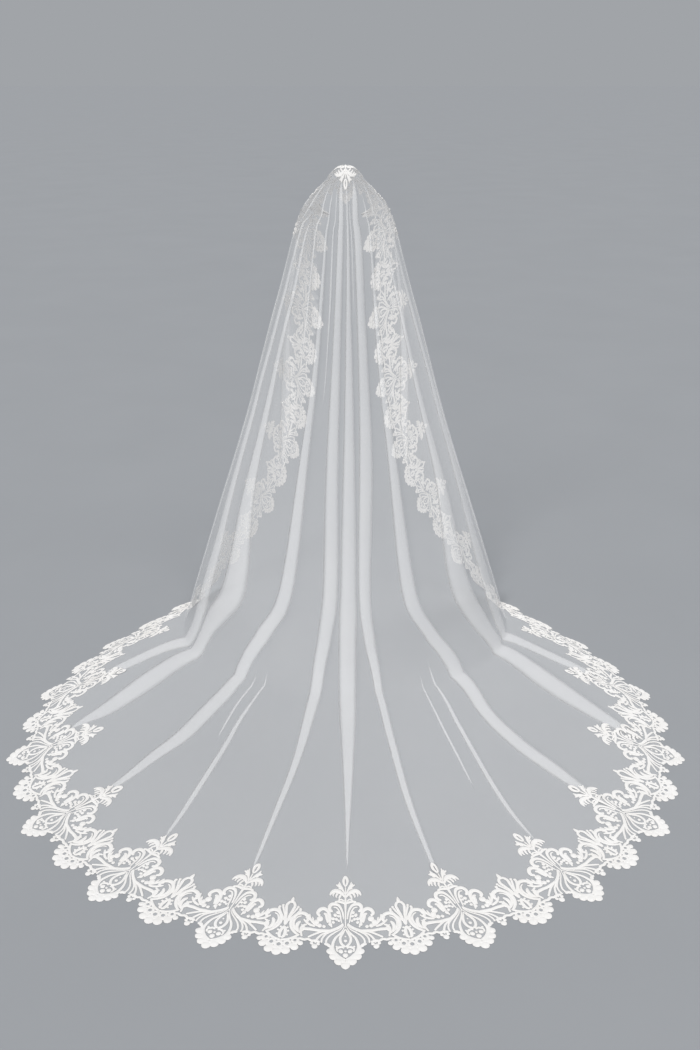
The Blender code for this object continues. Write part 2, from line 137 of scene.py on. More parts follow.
def read_table(table, at):
    """A two-column table read smoothly: the second column where the first is at."""
    path = smooth_path(table)
    return np.interp(at, path[:, 0], path[:, 1])


def edge_distance(angle):
    """Cloth from the crown to the cut's edge, at an angle from the centre back."""
    across = (np.cos(angle) / HALF_LENGTH) ** 2 + (np.sin(angle) / HALF_WIDTH) ** 2
    along = -2 * CUT_CENTRE * np.cos(angle) / HALF_LENGTH**2
    rest = (CUT_CENTRE / HALF_LENGTH) ** 2 - 1
    return (-along + np.sqrt(along**2 - 4 * across * rest)) / (2 * across)


def polar_to_flat(distance, angle):
    """Points of the flat cloth. A negative angle is on the left."""
    return np.stack([distance * np.sin(angle), distance * np.cos(angle)], axis=1)


def flat_to_polar(points):
    return np.linalg.norm(points, axis=1), np.arctan2(points[:, 0], points[:, 1])


EDGE_DISTANCES = edge_distance(CUT_ANGLES)
EDGE_POINTS = polar_to_flat(EDGE_DISTANCES, CUT_ANGLES)
EDGE_LENGTHS = lengths_of(EDGE_POINTS)
HALF_EDGE = EDGE_LENGTHS[-1]
REPEATS = 28
PITCH = 2 * HALF_EDGE / REPEATS


def edge_angle(distance):
    """The angle at which the cut's edge lies at this distance from the crown."""
    return np.interp(-distance, -EDGE_DISTANCES, CUT_ANGLES)


# %% Along the edge, and in from it
CROWN_SET_IN = 0.030  # how much further in the border lies over the head
SET_IN_FROM = 2.2  # and how many repeats before the middle of the front that begins


def eased(share):
    """A share from 0 to 1 that leaves and arrives smoothly."""
    return share * share * (3 - 2 * share)


def crown_set_in(run):
    return CROWN_SET_IN * eased(np.clip((run - HALF_EDGE + SET_IN_FROM * PITCH) / PITCH, 0, 1))


def edge_places(run, deep):
    """Flat points from the run along the edge from the centre back and the depth in from it."""
    side = np.where(run < 0, -1.0, 1.0)
    run = np.abs(run)
    past = run > HALF_EDGE
    run = np.where(past, 2 * HALF_EDGE - run, run)
    side = np.where(past, -side, side)
    deep = deep + crown_set_in(run)
    point = points_along(EDGE_POINTS, EDGE_LENGTHS, run)
    inward = -(point - [0, CUT_CENTRE]) / [HALF_WIDTH**2, HALF_LENGTH**2]
    inward /= np.linalg.norm(inward, axis=1, keepdims=True)
    point = point + inward * deep[:, None]
    return point * np.stack([side, np.ones_like(side)], axis=1)


# %% [markdown]
# ## How the cloth hangs
#
# A cloth simulation would find some drape, but not this one, and it would stretch the net. So the
# drape is a rule. Three profiles say how the cloth falls behind, at the side and in front. Between
# them each ring of the cut, one distance from the crown, becomes a smooth ring in space. Past the
# floor line the cloth lies flat and fans out to the train's edge. The rule is worked out once, on
# a fine grid, and every point of tulle and lace then reads its place and its normal from there.

# %% The profiles of the fall, and the train's outline
FLOOR_LINE = 1.76  # cloth from the crown to where the train lies flat
# Each profile is a line of points, as (distance out from under the crown, height over the floor).
BACK_FALL = ((0, 1.65), (0.02, 1.646), (0.036, 1.636), (0.068, 1.595), (0.098, 1.50),
             (0.125, 1.30), (0.16, 0.90), (0.25, 0.50), (0.37, 0.19), (0.45, 0.05), (0.53, 0.0),
             (0.70, 0.0))
SIDE_FALL = ((0, 1.65), (0.02, 1.646), (0.035, 1.636), (0.087, 1.580), (0.137, 1.522),
             (0.160, 1.460), (0.218, 1.245), (0.328, 0.883), (0.475, 0.428), (0.56, 0.175),
             (0.61, 0.04), (0.67, 0.0), (0.80, 0.0))
FRONT_FALL = ((0, 1.65), (0.02, 1.646), (0.036, 1.636), (0.078, 1.592), (0.112, 1.53),
              (0.165, 1.30), (0.21, 0.90), (0.275, 0.46), (0.35, 0.16), (0.39, 0.04),
              (0.45, 0.0), (0.56, 0.0))
# How far round from the centre back the veil reaches, as (cloth from the crown, degrees).
WRAP = ((0.0, 180), (0.20, 180), (0.30, 168), (0.45, 162), (0.70, 160), (0.95, 158), (1.20, 151),
        (1.45, 140), (1.65, 127), (1.76, 117), (1.95, 108))
# The train's edge on the floor, as (distance to the side, distance behind the crown).
TRAIN_EDGE = ((0, 1.587), (0.347, 1.525), (0.62, 1.40), (0.85, 1.20), (1.0, 0.95), (1.05, 0.70),
              (1.02, 0.48), (0.93, 0.27), (0.79, 0.07), (0.68, -0.07), (0.588, -0.195))
# Where the cloth meets the floor, as (share of the train's edge, share of the floor line).
FAN = ((0, 0), (0.134, 0.10), (0.225, 0.22), (0.383, 0.41), (0.52, 0.60), (0.668, 0.74), (1, 1))

FRONT_ANGLE = float(edge_angle(FLOOR_LINE))
TRAIN_LENGTH = float(np.interp(FRONT_ANGLE, CUT_ANGLES, EDGE_LENGTHS))
TRAIN_PATH = smooth_path(TRAIN_EDGE)
TRAIN_RUN = lengths_of(TRAIN_PATH)
print("the border leaves the floor at", round(math.degrees(FRONT_ANGLE), 1), "degrees")


# %% One ring of the hanging cloth
def fall_line(table):
    """A profile's points, none of them below the floor, and the cloth from the crown to each."""
    path = smooth_path(table)
    return np.maximum(path, 0), lengths_of(path)


FALLS = [fall_line(table) for table in (BACK_FALL, SIDE_FALL, FRONT_FALL)]


def ring_place(distance, turn):
    """Places at this much cloth from the crown, for turns round from the centre back."""
    back, side, front = (points_along(*fall, [distance])[0] for fall in FALLS)
    depth, height = np.where(np.cos(turn) < 0, front[:, None], back[:, None])
    sideways = np.sin(turn) ** 2
    z = side[1] * sideways + height * (1 - sideways) - CROWN_HEIGHT
    return np.stack([side[0] * np.sin(turn), -depth * np.cos(turn), z], axis=1)


def edge_share(angle):
    """Share of the train's edge from the centre back, past 1 on the hanging fronts."""
    return np.interp(angle, CUT_ANGLES, EDGE_LENGTHS) / TRAIN_LENGTH


def fan_share(angle):
    """Share of the floor line from the centre back, at an angle in the cut."""
    share = edge_share(angle)
    return np.where(share < 1, read_table(FAN, share), share)


EVEN_UNTIL, FANNED_BEYOND = 0.6, 1.5  # cloth from the crown
PAST_EDGE = 1.02  # a ring goes this much past its edge, so that normals can be taken there


def hang(distance, angles):
    """One ring of the hanging cloth: shared out evenly high up, fanned near the floor."""
    reach = math.radians(float(read_table(WRAP, distance)))
    last = max(float(edge_angle(distance)), 1e-6)
    settle = eased(min(max((distance - EVEN_UNTIL) / (FANNED_BEYOND - EVEN_UNTIL), 0), 1))
    even = angles / last
    fanned = fan_share(angles) / float(fan_share(last))
    share = np.clip(even + (fanned - even) * settle, 0, PAST_EDGE)
    steps = np.linspace(0, PAST_EDGE, 200)
    ring = ring_place(distance, reach * steps)
    run = lengths_of(ring[:, :2])
    turn = np.interp(share * np.interp(1, steps, run), run, reach * steps)
    return ring_place(distance, turn)


print("width at 1 m of cloth:", round(2 * float(hang(1.0, CUT_ANGLES)[:, 0].max()), 3), "m")


# %% The whole drape on a grid of distances and angles
GRID_STEP = 0.005
GRID_TURN = math.radians(0.15)
GRID_REACH = 2.90
LEVEL_WITHIN = 0.015  # the cloth is level this near to the crown
GRID_DISTANCES = np.arange(0, GRID_REACH, GRID_STEP)
GRID_ANGLES = np.arange(0, math.pi + GRID_TURN, GRID_TURN)
GRID_ANGLES[-1] = math.pi
LEAD_STEP = 0.02  # cloth over which the way that a line takes to the floor is measured


def floor_rows(distances, angles):
    """The train: each line from the crown leaves the floor line smoothly and meets the edge."""
    start = hang(FLOOR_LINE, angles)[:, :2]
    lead = start - hang(FLOOR_LINE - LEAD_STEP, angles)[:, :2]
    share = np.clip(edge_share(angles), 0, 1) * TRAIN_RUN[-1]
    end = points_along(TRAIN_PATH, TRAIN_RUN, share) * [1, -1]
    chord = end - start
    size = np.linalg.norm(chord, axis=1, keepdims=True)
    lead /= np.maximum(np.linalg.norm(lead, axis=1, keepdims=True), 1e-9)
    toward = (lead * chord).sum(axis=1, keepdims=True) / np.maximum(size, 1e-9)
    lead = lead * size * np.clip(toward, 0, 1) ** 3
    reach = np.maximum(edge_distance(angles) - FLOOR_LINE, 1e-6)
    part = ((distances[:, None] - FLOOR_LINE) / reach)[:, :, None]
    plan = (start * (2 * part**3 - 3 * part**2 + 1) + end * (3 * part**2 - 2 * part**3)
            + lead * (part**3 - 2 * part**2 + part) + chord * (part**3 - part**2))
    return np.concatenate([plan, np.full(plan.shape[:2] + (1,), FLOOR)], axis=2)


def make_grid():
    """The hanging cloth's rings, and past the floor line the train laid out."""
    places = np.stack([hang(min(r, FLOOR_LINE), GRID_ANGLES) for r in GRID_DISTANCES])
    low = int(np.searchsorted(GRID_DISTANCES, FLOOR_LINE, side="right"))
    laid = int(np.searchsorted(GRID_ANGLES, FRONT_ANGLE))
    places[low:, :laid] = floor_rows(GRID_DISTANCES[low:], GRID_ANGLES[:laid])
    return places


def grid_normals(places):
    """Normals that point outwards from the hanging cloth, and up on the train."""
    along = np.gradient(places, axis=0)
    across = np.gradient(places, axis=1)
    mirrored = places[:, 1] * [-1, 1, 1]
    across[:, 0] = (places[:, 1] - mirrored) / 2
    normal = np.cross(along, across)
    size = np.linalg.norm(normal, axis=2, keepdims=True)
    normal = np.where(size > 1e-12, normal / np.maximum(size, 1e-12), [0, 0, 1])
    normal[GRID_DISTANCES < LEVEL_WITHIN] = [0, 0, 1]
    return normal


GRID_PLACES = make_grid()
GRID_NORMALS = grid_normals(GRID_PLACES)
print("drape grid", GRID_PLACES.shape[:2], "train normal", GRID_NORMALS[500, 100].round(3))


# %% Reading the grid
def read_grid(grid, distance, angle):
    """Values of a grid at any distances and angles. A negative angle is on the left."""
    last_row, last_column = len(GRID_DISTANCES) - 1.001, len(GRID_ANGLES) - 1.001
    row = np.clip(distance / GRID_STEP, 0, last_row)
    column = np.clip(np.abs(angle) / GRID_TURN, 0, last_column)
    i, j = row.astype(int), column.astype(int)
    u, v = (row - i)[:, None], (column - j)[:, None]
    value = ((grid[i, j] * (1 - u) + grid[i + 1, j] * u) * (1 - v)
             + (grid[i, j + 1] * (1 - u) + grid[i + 1, j + 1] * u) * v)
    value[:, 0] *= np.where(angle < 0, -1.0, 1.0)
    return value


def on_form(distance, angle, height):
    """Places on the hanging form, moved out from it by these heights."""
    place = read_grid(GRID_PLACES, distance, angle)
    return place + read_grid(GRID_NORMALS, distance, angle) * height[:, None]


print("the centre back at 1 m of cloth:", read_grid(GRID_PLACES, np.ones(1), np.zeros(1)).round(3))


# %% [markdown]
# ## Folds
#
# Tulle is so thin that a fold shows mainly as three layers over each other: a bright band with
# crisp edges. A soft ridge in one layer would hardly be seen. So each fold here is a real pleat.
# Across it the cloth runs forward, doubles back and runs forward again, on a low ridge. The main
# pleats start at the crown and run out towards the lace, short gathers lie round the crown, and
# thin pleats begin where the cloth meets the floor. No two are alike, and the left half isn't a
# copy of the right one.

# %% The pleats, one by one
# Each pleat is (height of its ridge in mm, points down its length). A point is (cloth from the
# crown in metres, angle in the cut in degrees, how wide the pleat looks there in degrees).
PLEATS = {
    "centre": (8, (
        (0.07, 3, 3.6), (0.15, 2.6, 3.2), (0.3, 2.2, 3.0), (0.5, 1.8, 3.4), (1.0, 1.2, 4.2),
        (1.415, 0.8, 4.9), (1.585, 0.5, 4.35), (1.74, 0.4, 3.75), (2.08, 0.3, 1.5),
        (2.4, 0.15, 0.35), (2.57, 0.1, 0.12))),
    "left inner": (8, (
        (0.06, -13, 9), (0.135, -8.3, 8.5), (0.21, -6.0, 7), (0.27, -5.2, 6), (0.5, -4.8, 4.6),
        (1.0, -4.5, 4.2), (1.415, -4.1, 4.2), (1.585, -5.0, 3.1), (1.74, -5.85, 2.1),
        (2.1, -5.4, 0.9), (2.36, -5.5, 0.45), (2.6, -5.6, 0.15))),
    "left thin": (3, (
        (1.71, -12.4, 0.1), (1.82, -11.9, 0.25), (1.98, -11.5, 0.4), (2.13, -11.15, 0.45),
        (2.395, -11.1, 0.35), (2.54, -11.25, 0.1))),
    "left branch": (2, (
        (1.73, -13.7, 0.1), (1.8, -13.35, 0.2), (1.89, -13.0, 0.25), (2.0, -12.5, 0.2),
        (2.1, -12.1, 0.08))),
    "left middle": (9, (
        (0.09, -27.7, 2), (0.17, -24.8, 2.2), (0.26, -19.7, 2.4), (0.5, -15.5, 2.6),
        (1.0, -12.6, 2.6), (1.435, -11.7, 2.4), (1.6, -13.9, 2.55), (1.73, -15.7, 1.95),
        (1.89, -15.0, 1.8), (2.1, -14.9, 1.5), (2.24, -15.7, 1.05), (2.36, -16.35, 0.6),
        (2.51, -17.55, 0.1))),
    "left broad": (10, (
        (0.2, -44, 1.5), (0.26, -42.4, 2.4), (0.42, -37, 2.8), (0.66, -33.7, 2.6),
        (0.975, -26.5, 2.9), (1.3, -21.6, 3.4), (1.5, -20.2, 3.9), (1.62, -21.8, 3.4),
        (1.74, -22.9, 2.4), (2.0, -22.6, 2.85), (2.18, -22.9, 2.0), (2.26, -23.6, 0.9),
        (2.33, -24.1, 0.15))),
    "left outer": (10, (
        (0.17, -57, 2.5), (0.235, -51.6, 3), (0.445, -44.2, 3), (0.735, -38.7, 2.4),
        (0.945, -33.4, 2.4), (1.325, -26.9, 2.8), (1.57, -25.7, 3.2), (1.74, -25.8, 3.0),
        (1.96, -27.2, 2.5), (2.08, -28.2, 2.1), (2.16, -29, 0.3))),
    "left side": (7, (
        (0.2, -70, 1), (0.48, -55.5, 1.6), (0.87, -47, 1.5), (1.035, -43, 1.5),
        (1.34, -36.5, 1.4), (1.6, -34.4, 1.0), (1.8, -34.5, 0.2))),
    "left front": (10, (
        (0.2, -86, 2), (0.5, -74, 3.5), (0.9, -66, 4), (1.1, -63, 2), (1.2, -62, 0.2))),
    "left breast": (9, ((0.18, -112, 3), (0.4, -98, 5), (0.62, -88, 4), (0.75, -84, 0.4))),
    "right inner": (8, (
        (0.06, 24, 10), (0.135, 16.6, 11), (0.21, 13, 9), (0.27, 12.1, 8), (0.5, 9.5, 5.5),
        (1.0, 6.6, 4.0), (1.415, 5.1, 3.1), (1.59, 5.6, 2.25), (1.74, 6.45, 1.3),
        (2.0, 5.85, 0.9), (2.3, 5.3, 0.6), (2.62, 5.4, 0.2))),
    "right branch": (2, (
        (1.72, 11.9, 0.08), (1.85, 11.0, 0.22), (2.0, 10.4, 0.25), (2.155, 10.1, 0.2),
        (2.3, 9.9, 0.08))),
    "right thin": (3, (
        (1.69, 13.4, 0.1), (1.78, 13.1, 0.3), (1.88, 12.5, 0.4), (2.005, 11.8, 0.45),
        (2.215, 11.3, 0.4), (2.4, 11.25, 0.35), (2.55, 11.7, 0.1))),
    "right middle": (9, (
        (0.105, 34, 2), (0.185, 31, 2.2), (0.26, 24.75, 2.6), (0.5, 18.6, 2.8), (1.0, 14, 2.6),
        (1.435, 12.3, 2.5), (1.6, 14.3, 2.25), (1.745, 16.6, 2.25), (1.98, 15.0, 1.5),
        (2.15, 15.1, 1.35), (2.3, 16.0, 1.2), (2.43, 16.9, 0.6), (2.53, 18.1, 0.1))),
    "right broad": (10, (
        (0.2, 43, 1.5), (0.26, 41.2, 2.4), (0.42, 36.2, 2.8), (0.66, 32.5, 2.5),
        (0.975, 26.4, 2.7), (1.3, 21.8, 3.0), (1.5, 20.8, 3.2), (1.66, 22.5, 3.0),
        (1.76, 23.8, 2.8), (2.02, 22.95, 3.0), (2.22, 23.5, 1.95), (2.34, 24.3, 0.6),
        (2.4, 24.7, 0.1))),
    "right outer": (10, (
        (0.17, 58, 2.5), (0.235, 52.5, 3), (0.445, 45, 3), (0.735, 39.4, 2.3),
        (0.945, 34.2, 2.6), (1.325, 27.9, 3.0), (1.57, 26.9, 3.6), (1.76, 27.6, 3.2),
        (1.95, 27.8, 2.5), (2.1, 29.0, 1.95), (2.17, 29.6, 0.3))),
    "right side": (7, (
        (0.22, 68, 1), (0.5, 56, 1.4), (0.85, 48, 1.7), (1.1, 42, 1.6), (1.38, 36.8, 1.3),
        (1.62, 35.0, 0.9), (1.85, 35.2, 0.2))),
    "right front": (10, (
        (0.22, 84, 2), (0.5, 75, 3.2), (0.85, 67, 3.8), (1.08, 64, 2), (1.22, 62.5, 0.2))),
    "right breast": (9, ((0.2, 108, 3), (0.42, 96, 4.5), (0.6, 89, 3.6), (0.76, 83, 0.4))),
    "left crown": (3, (
        (0.07, -42, 2), (0.15, -38, 2.5), (0.3, -29.5, 1.8), (0.5, -24, 1.0),
        (0.66, -21.5, 0.15))),
    "left nape": (3, (
        (0.08, -19.5, 1.6), (0.2, -14.0, 1.6), (0.4, -10.6, 1.4), (0.62, -9.4, 0.6),
        (0.8, -9.0, 0.15))),
    "left gather one": (2, (
        (0.07, -66, 4.0), (0.13, -63, 3.4), (0.2, -61, 1.8), (0.27, -60, 0.2))),
    "left gather two": (2, ((0.08, -96, 3.0), (0.18, -88, 2.4), (0.3, -80, 1.2), (0.4, -76, 0.2))),
    "right gather one": (2, ((0.06, 52, 3.4), (0.14, 47, 2.6), (0.24, 38, 1.5), (0.38, 30, 0.2))),
    "right gather two": (2, ((0.08, 74, 3.0), (0.17, 68, 2.6), (0.3, 61, 1.0), (0.38, 58, 0.2))),
    "right gather three": (2, (
        (0.09, 100, 2.6), (0.2, 92, 2.2), (0.32, 86, 1.0), (0.42, 82, 0.2))),
    "right nape": (3, ((0.12, 6.6, 1.4), (0.25, 6.2, 1.2), (0.4, 5.6, 0.6), (0.52, 5.4, 0.15))),
}


# %% Tables of every pleat, level by level
LEVEL_STEP = 0.01  # a level is a distance from the crown
LEVELS = np.arange(0.05, 2.70, LEVEL_STEP)
LEAST_WIDTH = math.radians(0.08)
CLOTH_REACH = 1.9  # a pleat draws its cloth from this many times its own width
LEAST_GAP = 0.12  # share of the way between two pleats that stays open
GAP_SHARE = 0.47  # share of that gap that one of them may draw its cloth from
CLOSES_OVER, OPENS_OVER = 0.05, 0.06  # cloth over which the layers close and open
RIDGE_RISE, RIDGE_FADE = 0.35, 0.6  # cloth over which a ridge comes up and goes down
FADE_POWER = 0.7  # below 1, so that it goes down slowly at first
LAID_FROM, LAID_OVER = 1.5, 0.4  # where a ridge gets lower as the cloth comes to lie
ON_FLOOR_SHARE = 0.45  # a ridge on the floor is this much of one that hangs


def make_pleat_tables():
    """For each pleat and level: its middle, half its width, its reach, how folded, its ridge."""
    count = len(PLEATS)
    middle, half, folded, ridge = (np.zeros((count, len(LEVELS))) for _ in range(4))
    live = np.zeros((count, len(LEVELS)), bool)
    for k, (height, points) in enumerate(PLEATS.values()):
        path = smooth_path(points)
        start, end = path[0, 0], path[-1, 0]
        live[k] = (LEVELS > start - LEVEL_STEP) & (LEVELS < end + LEVEL_STEP)
        middle[k] = np.radians(np.interp(LEVELS, path[:, 0], path[:, 1]))
        width = np.radians(np.interp(LEVELS, path[:, 0], path[:, 2]))
        half[k] = np.maximum(width, LEAST_WIDTH) / 2
        folded[k] = (np.clip((LEVELS - start) / CLOSES_OVER, 0, 1)
                     * np.clip((end - LEVELS) / OPENS_OVER, 0, 1))
        rise = np.clip((LEVELS - start) / RIDGE_RISE, 0, 1)
        fade = np.clip((end - LEVELS) / RIDGE_FADE, 0, 1)
        laid = np.clip((LEVELS - LAID_FROM) / LAID_OVER, 0, 1)
        ridge[k] = height * MM * rise * fade**FADE_POWER * (1 - (1 - ON_FLOOR_SHARE) * laid)
    reach = half * CLOTH_REACH
    for at in range(len(LEVELS)):
        row = sorted(np.flatnonzero(live[:, at]), key=lambda k: middle[k, at])
        for a, b in zip(row, row[1:]):
            apart = middle[b, at] - middle[a, at]
            both = half[a, at] + half[b, at]
            if both > (1 - LEAST_GAP) * apart:
                half[[a, b], at] *= (1 - LEAST_GAP) * apart / both
            gap = apart - half[a, at] - half[b, at]
            for k in (a, b):
                reach[k, at] = min(reach[k, at], half[k, at] + GAP_SHARE * gap)
    return middle, half, reach, folded, ridge


PLEAT_TABLES = make_pleat_tables()
PLEAT_ENDS = [(points[0][0], points[-1][0]) for _, points in PLEATS.values()]
print(len(PLEATS), "pleats")


def pleat_at(number, distance):
    """The middle, half width, reach, fold and ridge of one pleat, at any distances."""
    return [np.interp(distance, LEVELS, table[number]) for table in PLEAT_TABLES]


# %% [markdown]
# ### One pleat across
#
# Cloth doesn't stretch as it is folded, so the stations across a pleat are spaced by the cloth
# between them. From the left it runs under the whole pleat to its right edge, back to the left
# edge and forward again over the top. Each edge has a small doubled crease, because a fold in
# tulle never lies quite flat, and that is what makes the fine bright line along it.

# %% Cloth across a pleat
LAYER = 1.2 * MM  # from one layer of a pleat to the next
CREASE = 4.0 * MM  # how deep the doubled crease at each edge is
TULLE_REST = 0.6 * MM  # the middle of the tulle above the form
# The layer that each station across a pleat lies in, in the order of the cloth.
STATION_LAYERS = np.array([0, 0, 0, 0, 0, 0, 0, 0.5, 1, 1, 1, 1, 1, 1.5, 2, 2, 2, 2, 2, 0, 0])


def fold_stations(band, crease):
    """Cloth places across a pleat (-1 to 1) and where each comes to lie, a row for each point.

    The band is how much of its reach a pleat covers. The top layer drops just past it.
    """
    one, zero = np.ones_like(band), np.zeros_like(band)
    drop = band + np.minimum(0.8 * (one - band), 1.2 * crease)
    lies = np.stack([
        -one, -(one + band) / 2, -band, -band / 2, zero, band / 2, band, band - crease, band,
        band / 2, zero, -band / 2, -band, crease - band, -band, -band / 2, zero, band / 2, band,
        drop, one], axis=1)
    cloth = np.cumsum(np.abs(np.diff(lies, axis=1)) + 1e-4, axis=1)
    cloth = np.hstack([np.zeros((len(band), 1)), cloth])
    return 2 * cloth / cloth[:, -1:] - 1, lies


def crest(across):
    """Share of its ridge that a pleat has, from its middle (0) to its reach (1)."""
    return np.clip(1 - across**2, 0, 1) ** 1.5


def pleat_shape(number, distance):
    middle, half, reach, folded, ridge = pleat_at(number, distance)
    band = half / reach
    crease = np.minimum(CREASE / np.maximum(distance, 0.05) / reach, 0.4 * band)
    return middle, reach, folded, ridge, fold_stations(band, crease)


def drape(distance, angle, height):
    """Places on the draped veil, with its pleats, this high over the form that it hangs on."""
    lies, lift = angle.copy(), np.full(len(angle), height, float)
    for number, (start, end) in enumerate(PLEAT_ENDS):
        near = np.flatnonzero((distance > start) & (distance < end))
        middle, reach, folded, ridge, (cloth, places) = pleat_shape(number, distance[near])
        across = (angle[near] - middle) / reach
        place, layer = across.copy(), np.zeros(len(near))
        for k in range(len(STATION_LAYERS) - 1):
            here = (across >= cloth[:, k]) & (across <= cloth[:, k + 1])
            share = ((across - cloth[:, k]) / (cloth[:, k + 1] - cloth[:, k]))[here]
            place[here] = places[here, k] * (1 - share) + places[here, k + 1] * share
            layer[here] = STATION_LAYERS[k] * (1 - share) + STATION_LAYERS[k + 1] * share
        touched = np.abs(across) < 1
        place = across + (place - across) * folded
        lies[near[touched]] = (middle + place * reach)[touched]
        lift[near[touched]] += (layer * folded * LAYER + ridge * crest(place))[touched]
    return on_form(distance, lies, lift)


print(len(STATION_LAYERS), "stations across a pleat")

# %% [markdown]
# ## The tulle
#
# The sheet is triangulated in the flat cut, as it would be drawn on the cutting table. Lines of
# points run along each pleat, close together across it, and the ground between has an even
# spread of points. Then every point is moved to where the cloth hangs.

# %% Flat points for the edge, the pleats and the ground
LINE_STEP = 0.028  # along a pleat
GROUND_STEP = 0.020  # between the pleats
LEAST_STEP, STEP_GROWTH = 0.004, 0.3  # the ground's points are closer together near the crown
ROW_SHARE = 0.87  # rows of even triangles are this share of a step apart
HEM_ROOM, PLEAT_ROOM = 0.075, 0.006  # no ground point is nearer to the edge, or to a pleat
# The tulle's edge, under the lace's scallops, as (aside of the motif's middle, in from the edge).
LARGE_HEM = ((0, 1), (16, 7), (28.5, 19), (36, 33), (42, 46), (52, 53), (62, 55), (66, 48),
             (74, 42), (82, 50), (92, 59), (102, 57))
SMALL_HEM = ((0, 14), (20, 20), (38, 33), (50, 46))


def hem_points():
    """The scalloped edge of the tulle, once round, as flat points."""
    run, deep = [], []
    for k in range(REPEATS):
        for centre, table in ((k * PITCH, LARGE_HEM), ((k + 0.5) * PITCH, SMALL_HEM)):
            rows = [(-a, d) for a, d in reversed(table)] + list(table[1:])
            run += [centre + a * MM for a, _ in rows]
            deep += [d * MM for _, d in rows]
    run = np.array(run) % (2 * HALF_EDGE)
    order = np.argsort(run)
    return edge_places(run[order], np.array(deep)[order])


def pleat_lines():
    """Lines of flat points down each pleat, one for each station across it."""
    lines = []
    for number, (start, end) in enumerate(PLEAT_ENDS):
        levels = np.linspace(start + 1e-4, end - 1e-4, max(6, round((end - start) / LINE_STEP)))
        middle, reach, _, _, (cloth, _) = pleat_shape(number, levels)
        for angle in (middle[:, None] + reach[:, None] * cloth).T:
            lines.append(polar_to_flat(levels, angle))
    return lines


def in_pleats(distance, angle, margin):
    """Which flat points lie in a pleat, or nearer to one than the margin."""
    found = np.zeros(len(distance), bool)
    for number, (start, end) in enumerate(PLEAT_ENDS):
        middle, _, reach, _, _ = pleat_at(number, distance)
        found |= ((np.abs(angle - middle) < reach + margin / np.maximum(distance, 0.02))
                  & (distance > start - margin) & (distance < end + margin))
    return found


def ground_points():
    """Evenly spread points between the pleats, in rings round the crown."""
    found = []
    level, number = 2 * LEAST_STEP, 0
    while level < EDGE_DISTANCES[0]:
        step = min(GROUND_STEP, STEP_GROWTH * level + LEAST_STEP)
        count = max(8, round(2 * math.pi * level / step))
        angle = (np.arange(count) + 0.5 * (number % 2)) * 2 * math.pi / count - math.pi
        room = edge_distance(np.abs(angle)) - level
        keep = (room > HEM_ROOM) & ~in_pleats(np.full(count, level), angle, PLEAT_ROOM)
        found.append(polar_to_flat(level, angle)[keep])
        level += step * ROW_SHARE
        number += 1
    return np.vstack(found + [[[0.0, 0.0]]])


TULLE_EDGE, PLEAT_LINES, GROUND = hem_points(), pleat_lines(), ground_points()
print("flat points:", len(TULLE_EDGE), "on the edge,", len(PLEAT_LINES), "lines along pleats,",
      len(GROUND), "on the ground between")


# %% Triangles in the flat cut
def inside(points, loop):
    """Which points lie inside a loop: a line to the right crosses it an odd number of times."""
    found = np.zeros(len(points), bool)
    x, y = points.T
    for (ax, ay), (bx, by) in zip(loop, np.roll(loop, -1, axis=0)):
        if ay != by:
            found ^= ((ay > y) != (by > y)) & (x < ax + (y - ay) * (bx - ax) / (by - ay))
    return found


def triangulate(loop, lines, dots):
    """Triangles inside a loop that keep the lines as edges and use the dots as corners."""
    points = [Vector(p) for p in loop]
    edges = [(k, (k + 1) % len(loop)) for k in range(len(loop))]
    for line in lines:
        start = len(points)
        points += [Vector(p) for p in line]
        edges += [(start + k, start + k + 1) for k in range(len(line) - 1)]
    points += [Vector(p) for p in dots]
    found = delaunay_2d_cdt(points, edges, [], 0, 1e-6)
    corners = np.array([tuple(p) for p in found[0]])
    faces = np.array([tuple(f) for f in found[2]])
    a, b, c = corners[faces[:, 0]], corners[faces[:, 1]], corners[faces[:, 2]]
    area = (b[:, 0] - a[:, 0]) * (c[:, 1] - a[:, 1]) - (b[:, 1] - a[:, 1]) * (c[:, 0] - a[:, 0])
    faces[area > 0] = faces[area > 0][:, ::-1]
    faces = faces[inside((a + b + c) / 3, loop)]
    used, faces = np.unique(faces, return_inverse=True)
    return corners[used], faces.reshape(-1, 3)


# %% The tulle's sheet
def make_tulle():
    """The draped sheet. Its UV map is the flat cut, in metres."""
    corners, faces = triangulate(TULLE_EDGE, PLEAT_LINES, GROUND)
    mesh = bpy.data.meshes.new("tulle_veil")
    mesh.from_pydata(drape(*flat_to_polar(corners), TULLE_REST).tolist(), [], faces.tolist())
    mesh.shade_smooth()
    layout = mesh.uv_layers.new(name="cut")
    layout.data.foreach_set("uv", corners[faces.reshape(-1)].astype(np.float32).ravel())
    return add_object("tulle_veil", mesh)


tulle = make_tulle()
print("tulle:", len(tulle.data.polygons), "triangles")

# %% [markdown]
# ## The lace border
#
# The border is corded lace in the Spanish mantilla manner: thick satin-stitched cords and pads on
# the net. A large motif and a small one take turns, 28 times round. A photograph as a texture
# would be flat, and modelling every thread would be far too heavy. So each motif is drawn once
# as strokes with a varying width. Geometry Nodes turn strokes into raised cords and set the
# motifs side by side along a straight line. That flat strip is then laid round the veil's edge.

# %% A helper that adds a node
def add_node(tree, kind, sockets=None, **settings):
    """A node with its settings. Each socket gets a value or a link from another node."""
    node = tree.nodes.new(kind)
    for name, value in settings.items():
        setattr(node, name, value)
    for key, value in (sockets or {}).items():
        if isinstance(value, bpy.types.NodeSocket):
            tree.links.new(value, node.inputs[key])
        else:
            node.inputs[key].default_value = value
    return node


# %% [markdown]
# ### The large motif
#
# From the edge inwards it has a pointed row of pads round a window, stems that spread like a
# palm leaf, two pairs of scrolls and a finial. Sizes are in millimetres: how far a point is aside
# of the motif's middle line, and how far in from the cloth's edge.

